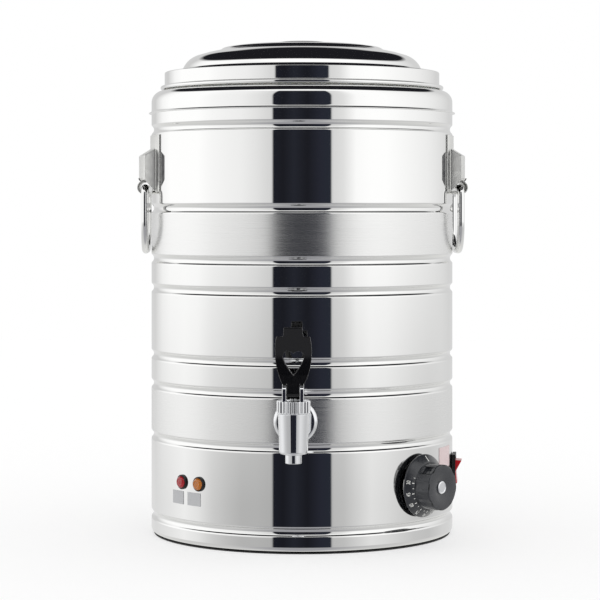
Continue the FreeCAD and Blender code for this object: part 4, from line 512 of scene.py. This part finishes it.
HEAD, NECK, KNOB_TOP, SCREW = 30.0, 9.0, 488.5, 3.0
crown_radius = ((HEAD - 5) ** 2 + 1) / 2
knob_path = [
    (SCREW, KNOB_TOP - 8), (SCREW, DISH_FLOOR), (NECK + 2, DISH_FLOOR), (NECK, DISH_FLOOR + 3, -8),
    (NECK + 6, KNOB_TOP - 11), (HEAD - 2, KNOB_TOP - 7.4, 2.4), (HEAD, KNOB_TOP - 5, 5.4),
    (HEAD - 5, KNOB_TOP - 1, crown_radius), (0, KNOB_TOP)]
screw_room = [Vector((0, KNOB_TOP - 8)), Vector((SCREW, KNOB_TOP - 8))]
lid_handle = turned("lid_handle", line_of(knob_path, 8) + screw_room, mirror, segments=192)
stands_for(lid_handle, "lid", "mirror_steel", "lid_knob")

# Tap
# A chromed brass lever tap: a domed rosette on the wall, a tapered body with its spout, and a
# fluted cap nut whose two cheeks carry the lever's pin.

# Bright chrome plate over cast brass: a cool mirror with the faint waves of the casting.
chrome = finish("bright_chrome", "EDEEF0", dents=((25, 1.0), 0.2, 0.15), Metallic=1.0, Roughness=0.05)


def wall(angle, height):
    """Local Z points out of the barrel at an angle from the tap, from its axis, and local Y is up."""
    turn = math.radians(angle)
    side, out = (math.cos(turn), math.sin(turn)), (math.sin(turn), -math.cos(turn))
    return Matrix(((side[0], 0, out[0], 0), (side[1], 0, out[1], 0), (0, 1, 0, height * MM), (0, 0, 0, 1)))


MERGE = 0.01
FLAT_ANGLE = 0.5
EDGE_SEGMENTS = 3
EDGE_ANGLE = 32


def softened(name, node, material, width):
    """A CAD piece with its hard edges rounded, once its triangles are merged and its faces made whole."""
    mesh = nodes[node].data.copy()
    shape = bmesh.new()
    shape.from_mesh(mesh)
    bmesh.ops.remove_doubles(shape, verts=shape.verts, dist=MERGE * MM)
    flat = math.radians(FLAT_ANGLE)
    bmesh.ops.dissolve_limit(shape, angle_limit=flat, verts=shape.verts, edges=shape.edges)
    shape.to_mesh(mesh)
    shape.free()
    coated(mesh, material)
    draft = shown(name + "_draft", mesh)
    bevel = draft.modifiers.new("edges", "BEVEL")
    bevel.width = width * MM
    bevel.segments = EDGE_SEGMENTS
    bevel.limit_method = "ANGLE"
    bevel.angle_limit = math.radians(EDGE_ANGLE)
    bevel.use_clamp_overlap = False
    bevel.harden_normals = True
    rounded = applied(draft)
    rounded.name = name
    return shown(name, rounded)


TAP_REACH, TAP_HEIGHT = 42.0, 124.0
tap_line = BARREL + TAP_REACH
ROSETTE, ROSETTE_DEPTH, SHANK = 20.5, 5.8, 9.0
front_face = BARREL + ROSETTE_DEPTH
rosette = turned("tap_rosette", line_of([
    (SHANK + 0.4, BARREL - 3), (ROSETTE, BARREL - 3), (ROSETTE, front_face - 3.6, 3.6),
    (ROSETTE - 3.6, front_face), (SHANK + 0.4, front_face), (SHANK + 0.4, BARREL - 3)], 8),
    chrome, segments=128)
for vertex in rosette.data.vertices:
    vertex.co.z = max(vertex.co.z, math.sqrt(((BARREL + 0.1) * MM) ** 2 - vertex.co.x ** 2))
rosette.data.transform(wall(0, TAP_HEIGHT))
stands_for(rosette, "urn", "tap_chrome", "tap_flange")

SPOUT, SPOUT_BORE, SPOUT_FOOT = 7.5, 5.0, 90.0
BODY_FOOT, FOOT_RADIUS, TOP_RADIUS, BODY_TOP = 98.5, 13.1, 14.4, 135.5
BOSS = 11.0
CASTING_CREASE = 40
tap_spot = Matrix.Translation((0, -tap_line * MM, 0))
tap_cone = turned("tap_cone", line_of([
    (0, SPOUT_FOOT + 14), (SPOUT_BORE, SPOUT_FOOT + 14), (SPOUT_BORE, SPOUT_FOOT + 0.5, 0.5),
    (SPOUT_BORE + 0.5, SPOUT_FOOT), (SPOUT - 0.6, SPOUT_FOOT, 0.6), (SPOUT, SPOUT_FOOT + 0.6),
    (SPOUT, BODY_FOOT - 0.8, -0.8), (SPOUT + 0.8, BODY_FOOT), (FOOT_RADIUS - 2.4, BODY_FOOT, 2.6),
    (FOOT_RADIUS, BODY_FOOT + 2.4), (TOP_RADIUS, BODY_TOP - 0.6, 0.6), (TOP_RADIUS - 0.6, BODY_TOP),
    (0, BODY_TOP)], 8), chrome, tap_spot, segments=160)
tap_boss = turned("tap_boss", line_of([
    (0, front_face + 0.2), (BOSS - 0.5, front_face + 0.2, 0.5), (BOSS, front_face + 0.7),
    (BOSS, tap_line), (0, tap_line)], 8), chrome, wall(0, TAP_HEIGHT), segments=128)
union = tap_cone.modifiers.new("boss", "BOOLEAN")
union.operation = "UNION"
union.object = tap_boss
tap_casting = placed("tap_casting", applied(tap_cone))
bpy.data.objects.remove(tap_boss)
tap_casting.data.set_sharp_from_angle(angle=math.radians(CASTING_CREASE))
stands_for(tap_casting, "urn", "tap_chrome", "tap_body")

BONNET, BONNET_TOP, FLUTES = 15.5, 147.6, 24
cap_nut = turned("cap_nut", line_of([
    (2.6, BODY_TOP + 0.1), (BONNET - 0.8, BODY_TOP + 0.1, 0.7), (BONNET - 0.1, BODY_TOP + 0.8),
    (BONNET, BODY_TOP + 1.6), (BONNET, BONNET_TOP - 1.2, 1.2), (BONNET - 1.2, BONNET_TOP),
    (2.6, BONNET_TOP), (2.6, BODY_TOP + 0.1)], 10), chrome, tap_spot, segments=FLUTES * 20,
    flutes=(FLUTES, 1.3, BODY_TOP + 0.7, BONNET_TOP - 0.7, 3.0))
PLATE_EDGE, PLATE_CREASE = 0.5, 35
PIVOT_HEIGHT, PIVOT_OFFSET, CHEEK, CHEEK_SHEET, TONGUE = 155.0, 5.0, 8.0, 3.6, 11.8
cheek_line = line_of([
    (-PIVOT_OFFSET - CHEEK, BONNET_TOP - 0.6), (CHEEK - PIVOT_OFFSET, BONNET_TOP - 0.6),
    (CHEEK - PIVOT_OFFSET, PIVOT_HEIGHT, CHEEK), (-PIVOT_OFFSET, PIVOT_HEIGHT + CHEEK, CHEEK),
    (-PIVOT_OFFSET - CHEEK, PIVOT_HEIGHT)], 8)


def plate(name, line, low, high, material):
    """A flat plate with rounded edges: an outline of (y, z) points, standing between two x places."""
    shape = bmesh.new()
    loop = [shape.verts.new((low * MM, p[0] * MM, p[1] * MM)) for p in line]
    face = shape.faces.new(loop)
    grown_face = bmesh.ops.extrude_face_region(shape, geom=[face])
    moved = [v for v in grown_face["geom"] if isinstance(v, bmesh.types.BMVert)]
    bmesh.ops.translate(shape, verts=moved, vec=((high - low) * MM, 0, 0))
    rims = [e for e in shape.edges if abs(e.verts[0].co.x - e.verts[1].co.x) < 1e-9]
    bmesh.ops.bevel(shape, geom=rims, offset=PLATE_EDGE * MM, segments=EDGE_SEGMENTS, profile=0.5,
                    affect="EDGES")
    mesh = bpy.data.meshes.new(name)
    shape.to_mesh(mesh)
    shape.free()
    mesh.materials.append(material)
    piece = placed(name, mesh)
    mesh.set_sharp_from_angle(angle=math.radians(PLATE_CREASE))
    return piece


def joined(name, pieces):
    """Several pieces as one object, each closed in itself, with normals led by the largest faces."""
    shape = bmesh.new()
    for piece in pieces:
        shape.from_mesh(piece.data)
    mesh = bpy.data.meshes.new(name)
    shape.to_mesh(mesh)
    shape.free()
    mesh.materials.append(pieces[0].data.materials[0])
    for piece in pieces:
        bpy.data.objects.remove(piece)
    draft = shown(name + "_draft", mesh)
    weighted = draft.modifiers.new("weighted", "WEIGHTED_NORMAL")
    weighted.keep_sharp = True
    whole = applied(draft)
    whole.name = name
    return shown(name, whole)


inner_cheek = TONGUE / 2 + 0.3
moved_line = [(p[0] - tap_line, p[1]) for p in cheek_line]
cheeks = [plate("cheek", moved_line, low, low + CHEEK_SHEET, chrome)
          for low in (-inner_cheek - CHEEK_SHEET, inner_cheek)]
tap_head = joined("tap_head", [cap_nut, *cheeks])
stands_for(tap_head, "urn", "tap_chrome", "tap_bonnet")

# Tap lever
# Glossy black phenolic, moulded in one piece with a heart-shaped hole: its fork lifts the valve's
# stem when the top is pulled forward. Its rounded edges catch the side panels as thin pale lines.

# Polished phenolic: deep black under a wet-looking gloss that is slightly uneven.
phenolic = finish("black_phenolic", "09090B", gloss=((5, 3.0), 0.14, 0.22), dents=((8.333, 1.0), 0.1, 0.2),
                  Specular_IOR_Level=0.25, Coat_Weight=0.6, Coat_Roughness=0.04)
VOXEL = 0.3
ROUNDING_STEPS = 8
lever_draft = shown("lever_draft", nodes["tap_lever"].data.copy())
skin = lever_draft.modifiers.new("skin", "REMESH")
skin.mode = "VOXEL"
skin.voxel_size = VOXEL * MM
rounding = lever_draft.modifiers.new("rounding", "SMOOTH")
rounding.iterations = ROUNDING_STEPS
lever_mesh = applied(lever_draft)
coated(lever_mesh, phenolic)
lever = placed("lever_moulding", lever_mesh)
stands_for(lever, "tap_lever", "black_plastic", "tap_lever")

# Side handles
# Each bracket is pressed from stainless sheet with a curled foot, and a bail of round rod hangs in
# the curl. They are spot welded to the barrel.
HANDLE_TURN = 4.0
BAIL_ROD, BAIL_REACH, BAIL_HINGE, BAIL_FOOT = 3.6, 155.2, 342.0, 280.6
BAIL_HALF, BAIL_SMALL, BAIL_LARGE = 40.0, 9.0, 28.0
rod = bpy.data.node_groups.new("rod", "GeometryNodeTree")
sizes = interface(rod, Rod_Radius="Float", Sides="Int", Material="Material")
spine = add(rod, "GeometryNodeMeshToCurve", {0: sizes["Geometry"]})
section = add(rod, "GeometryNodeCurvePrimitiveCircle", {
    "Resolution": sizes["Sides"], "Radius": sizes["Rod Radius"]})
swept = add(rod, "GeometryNodeCurveToMesh", {"Curve": spine, "Profile Curve": section})
soft = add(rod, "GeometryNodeSetShadeSmooth", {"Geometry": swept})
real = add(rod, "GeometryNodeRealizeInstances", {"Geometry": soft})
faced = add(rod, "GeometryNodeSetMaterial", {"Geometry": real, "Material": sizes["Material"]})
add(rod, "NodeGroupOutput", {"Geometry": faced})
bail_line = line_of([
    (BAIL_HALF - BAIL_SMALL, BAIL_HINGE), (BAIL_SMALL - BAIL_HALF, BAIL_HINGE, BAIL_SMALL),
    (-BAIL_HALF, BAIL_HINGE - BAIL_SMALL), (-BAIL_HALF, BAIL_FOOT + BAIL_LARGE, BAIL_LARGE),
    (BAIL_LARGE - BAIL_HALF, BAIL_FOOT), (BAIL_HALF - BAIL_LARGE, BAIL_FOOT, BAIL_LARGE),
    (BAIL_HALF, BAIL_FOOT + BAIL_LARGE), (BAIL_HALF, BAIL_HINGE - BAIL_SMALL, BAIL_SMALL),
    (BAIL_HALF - BAIL_SMALL, BAIL_HINGE)], 6)[:-1]
# Sheet as it leaves the press: bright, but softer than the polished wall and a little wavy.
pressed = finish("pressed_stainless", "EFEFEC", gloss=((6.667, 3.0), 0.26, 0.36),
                 dents=((28.57, 1.0), 0.4, 0.2), Metallic=1.0)
for side, start in (("right", 0.0), ("left", 180.0)):
    place = Matrix.Rotation(math.radians(start + HANDLE_TURN), 4, "Z")
    base = bpy.data.meshes.new("bail_line")
    links = [(i, (i + 1) % len(bail_line)) for i in range(len(bail_line))]
    base.from_pydata([(BAIL_REACH * MM, p[0] * MM, p[1] * MM) for p in bail_line], links, [])
    bail = grown("bail_rod_" + side, base, rod, mirror, place, Rod_Radius=BAIL_ROD * MM, Sides=32)
    stands_for(bail, "bail_" + side, "mirror_steel", "bail_" + side)
    bracket = softened("bracket_pressing_" + side, "handle_bracket_" + side, pressed, 0.5)
    stands_for(bracket, "urn", "mirror_steel", "handle_bracket_" + side)

# Thermostat knob
# Black moulded urea: a coned skirt printed with a plain scale in white ink, a scalloped grip and a
# small plated cap over the screw.
KNOB_ANGLE, KNOB_HEIGHT = 51.0, 58.0
SKIRT, SKIRT_LIFT, SKIRT_DEPTH, GRIP = 30.0, 3.3, 8.0, 22.0
# Moulded urea: a cool black with a silky shine and a very fine tooth.
urea = finish("black_urea", "26282D", gloss=((2.5, 3.0), 0.26, 0.36), dents=((0.6667, 2.0), 0.08, 0.35),
              Coat_Weight=0.5, Coat_Roughness=0.15)
knob = softened("knob_moulding", "thermostat_knob", urea, 0.6)
stands_for(knob, "knob", "black_plastic", "thermostat_knob")

# Pad-printed ink: flat white, a little thin in places.
ink = finish("white_dial_ink", "E6E6E2", mottle=((1.667, 3.0), "D8D8D4", "F0F0EC"), Roughness=0.5)
skirt_waist = BARREL + SKIRT_LIFT + SKIRT_DEPTH
skirt_rim = BARREL + SKIRT_LIFT + 1.6
SCALE_START, SCALE_STEP = 78.0, 24.0
SCALE = ["30", "45", "60", "75", "90", "110"]
NUMBER_SIZE, NUMBER_RADIUS = 4.0, 27.4
INK_LIFT, INK_THICKNESS = 0.06, 0.04


def on_skirt(across, up, angle):
    """A point of the knob's cone: across runs along the ring, up is the radius, angle is from the top."""
    turn = math.radians(angle) + across / up
    fall = (up - GRIP - 1) / (SKIRT - GRIP - 1)
    out = skirt_waist + (skirt_rim - skirt_waist) * fall + INK_LIFT
    return Vector((-math.sin(turn) * up, math.cos(turn) * up, out)) * MM


marks = bmesh.new()


def tick(angle, low, high, width):
    """A short white line on the skirt, from one radius to another."""
    corners = [marks.verts.new(on_skirt(x, r, angle)) for x, r in
               ((-width / 2, low), (width / 2, low), (width / 2, high), (-width / 2, high))]
    marks.faces.new(corners)


tick(0, 23.6, 28.6, 1.0)
for index, number in enumerate(SCALE):
    place_angle = SCALE_START + index * SCALE_STEP
    tick(place_angle, 23.4, 25.0, 0.7)
    tick(place_angle - SCALE_STEP / 2, 23.4, 24.4, 0.5)
    letters = bpy.data.curves.new("number", "FONT")
    letters.body = number
    letters.size = NUMBER_SIZE
    letters.align_x = "CENTER"
    letters.align_y = "CENTER"
    flat = applied(shown("number", letters))
    for vertex in flat.vertices:
        vertex.co = on_skirt(-vertex.co.x, NUMBER_RADIUS + vertex.co.y, place_angle)
    marks.from_mesh(flat)
bmesh.ops.triangulate(marks, faces=marks.faces)
bmesh.ops.transform(marks, matrix=wall(KNOB_ANGLE, KNOB_HEIGHT), verts=marks.verts)
outward_side = wall(KNOB_ANGLE, KNOB_HEIGHT).col[2].to_3d()
for face in marks.faces:
    face.normal_update()
    if face.normal.dot(outward_side) < 0:
        face.normal_flip()
bmesh.ops.solidify(marks, geom=marks.faces, thickness=INK_THICKNESS * MM)
marks_mesh = bpy.data.meshes.new("dial_marks")
marks.to_mesh(marks_mesh)
marks.free()
marks_mesh.materials.append(ink)
dial_marks = shown("dial_marks", marks_mesh)
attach(dial_marks, "knob")


def clad(material, *names):
    """Gives CAD pieces, which keep their shapes, a material."""
    for name in names:
        nodes[name].material_slots[0].material = material


clad(chrome, "knob_cap")
clad(mirror, "dial_bezel")

# Rocker switch
# A snap-in switch: a black nylon bezel with a deep frame and a glossy red rocker, each moulded. It
# is held by its own springs in a cut-out of the wall.

# Glass-filled nylon: black, dull, with a fine grain.
black_nylon = finish("black_nylon", "161617", dents=((0.8333, 2.0), 0.1, 0.3), Roughness=0.4)
# Polished coloured plastic: a strong, slightly uneven red with a clean shine.
red_plastic = finish("red_rocker_plastic", "B81420", mottle=((8.333, 2.0), "B01220", "C41824"),
                     Roughness=0.18, Coat_Weight=0.4, Coat_Roughness=0.05)
housing = softened("switch_frame", "switch_housing", black_nylon, 0.5)
stands_for(housing, "urn", "black_plastic", "switch_housing")
rocker = softened("red_rocker", "rocker", red_plastic, 0.7)
stands_for(rocker, "rocker", "red_plastic", "rocker")

# Pilot lamps
# Two small neon lamps, red and amber: a moulded bezel and a clear coloured lens with rings
# moulded in it that spread the light.
LAMPS = {"red": (-47.2, "B4202A"), "amber": (-38.2, "C8741C")}
LAMP_HEIGHT, LENS, LENS_RISE, LAMP_BEZEL = 61.0, 5.6, 2.4, 7.0
LENS_RING, LENS_GROOVE = 1.1, 0.35
LAMP_SEGMENTS = 64
lamp_back = BARREL + 0.1
lamp_front = lamp_back + 1.8
lens_top = lamp_front + LENS_RISE
bezels = []
for name, (angle_round, colour) in LAMPS.items():
    place = wall(angle_round, LAMP_HEIGHT)
    # Tinted acrylic: glossy and partly clear, with a finely uneven face.
    acrylic = finish(name + "_lens_acrylic", colour, dents=((2, 2.0), 0.1, 0.2), Roughness=0.08, IOR=1.49,
                     Transmission_Weight=0.35, Coat_Weight=0.6, Coat_Roughness=0.03)
    rings = [(LENS - LENS_RING * (i + 2), lens_top - LENS_GROOVE * (i % 2)) for i in range(3)]
    lens = turned(name + "_lens_dome", line_of([
        (0, lamp_back - 3), (3.7, lamp_back - 3), (3.7, lamp_back + 0.9), (LENS, lamp_back + 0.9),
        (LENS, lamp_front + 0.4, 3.4), *rings, (0, lens_top)], 8, 0.15),
        acrylic, place, segments=LAMP_SEGMENTS)
    stands_for(lens, "urn", name + "_lens", name + "_lens")
    bezels.append(turned(name + "_bezel", line_of([
        (0, lamp_back - 22), (4.6, lamp_back - 22, 0.4), (5.0, lamp_back - 21.6), (5.0, lamp_back),
        (LAMP_BEZEL, lamp_back), (LAMP_BEZEL, lamp_front - 0.8, 0.8), (LAMP_BEZEL - 0.8, lamp_front),
        (LENS + 0.1, lamp_front), (LENS + 0.1, lamp_back + 0.8), (3.8, lamp_back + 0.8),
        (3.8, lamp_back - 4), (0, lamp_back - 4)], 12), black_nylon, place, segments=LAMP_SEGMENTS))
lamp_bezels = joined("lamp_bezels", bezels)
stands_for(lamp_bezels, "urn", "black_plastic", "lamp_bodies")

# Labels
# Plain foil labels stuck on the round wall, left blank: two small grey ones by the lamps and a
# pale pink one by the switch.
LABELS = {"lamp_labels": ("AEB0B2", "C2C2C4"), "side_label": ("DCC6C6", "E8D6D6")}
for node, (low, high) in LABELS.items():
    # Printed foil: half dull, half metal, with a faint cloudiness.
    foil = finish(node + "_foil", low, mottle=((1.4286, 3.0), low, high), Roughness=0.38, Metallic=0.25)
    clad(foil, node)

# Pieces inside
# The pot, the lid's pan and the working parts keep the model's shapes. Each gets the finish that such
# a part comes with: brushed, plated, cast, moulded or woven.

# Satin stainless: fine level lines, 0.6 mm apart, in a soft shine.
BRUSHED = (33.33, 4.0, (1, 1, 60))
pot_steel = finish("satin_pot_steel", "C9C9C8", gloss=(BRUSHED, 0.24, 0.38), dents=(BRUSHED, 0.1, 0.15),
                   Metallic=1.0)
clad(pot_steel, "inner_pot", "lid_liner")
# Bright zinc plate: a bluish, slightly cloudy metal.
zinc = finish("bright_zinc_plate", "C4C6C8", mottle=((5.556, 3.0), "B8BBC0", "D0D1CC"), Metallic=1.0,
              Roughness=0.28)
clad(zinc, "base_plate", "base_brackets", "base_screws", "heater_clamp", "heater_stud", "heater_nuts",
     "heat_shield", "thermostat_screws", "lever_pin", "valve_spring", "thermostat_shaft", "valve_stem",
     "cross_pin", "lid_screw")
# Cast aluminium: dull grey with the sand's grain.
aluminium = finish("cast_aluminium", "B4B4B2", dents=((1.111, 4.0), 0.3, 0.5), Metallic=1.0, Roughness=0.5)
clad(aluminium, "heating_plate")
# Nickel sheath after many heatings: brown and blotched.
sheath = finish("heated_nickel_sheath", "6E625A", mottle=((16.67, 3.0), "5A4E48", "86786C"), Metallic=1.0,
                Roughness=0.45)
clad(sheath, "heating_element")
# Polyurethane foam: matt straw colour, full of small cells.
foam = finish("polyurethane_foam", "E8D9A4", mottle=((2, 4.0), "DCC98E", "F0E4BC"),
              dents=((1.25, 4.0), 0.8, 0.7), Roughness=0.9)
clad(foam, "foam_jacket", "lid_foam")
# Moulded silicone: milky, soft and half dull.
silicone = finish("milky_silicone", "E4E2DA", dents=((1.667, 2.0), 0.1, 0.3), Roughness=0.45,
                  Subsurface_Weight=0.1)
clad(silicone, "lid_gasket", "tap_seal", "valve_cup")
# Undyed nylon: warm white, waxy, finely grained.
nylon = finish("natural_nylon", "E6E2D6", dents=((1.111, 2.0), 0.1, 0.3), Roughness=0.42,
               Subsurface_Weight=0.1)
clad(nylon, "terminal_block", "tap_sleeve")
# Turned brass: yellow, with a shine that changes a little over the cut.
brass = finish("turned_brass", "D2A850", gloss=((5, 2.0), 0.2, 0.34), Metallic=1.0)
clad(brass, "tap_nut", "tap_shank", "earth_stud")
# Drawn copper: red, darker where it has tarnished.
copper = finish("drawn_copper", "C87850", mottle=((11.11, 3.0), "B06844", "D08860"), Metallic=1.0,
                Roughness=0.3)
clad(copper, "capillary_and_bulb")
clad(black_nylon, "thermal_cutout", "thermostat_body", "cable_gland", "gland_nut")
# Braided glass sleeve on the wires: matt red-brown with light and dark threads.
THREAD = 0.349
sleeve = finish("braided_wire_sleeve", "8C2A1E", Roughness=0.7)
tree = sleeve.node_tree
shader = tree.nodes["Principled BSDF"]
spot = add(tree, "ShaderNodeTexCoord").outputs["Object"]
# At scale 1 a wave texture repeats every pi / 10.
thread_scale = math.pi / 10 / (THREAD * MM)
braid = add(tree, "ShaderNodeTexWave", {"Vector": spot, "Scale": thread_scale}).outputs["Fac"]
threads = add(tree, "ShaderNodeMix", {0: braid, 6: linear("7A2218"), 7: linear("A03A2A")}, data_type="RGBA")
ridges = add(tree, "ShaderNodeBump", {"Height": braid, "Distance": 0.2 * MM, "Strength": 0.5})
tree.links.new(threads.outputs[2], shader.inputs["Base Color"])
tree.links.new(ridges.outputs[0], shader.inputs["Normal"])
clad(sleeve, "wiring_loom")
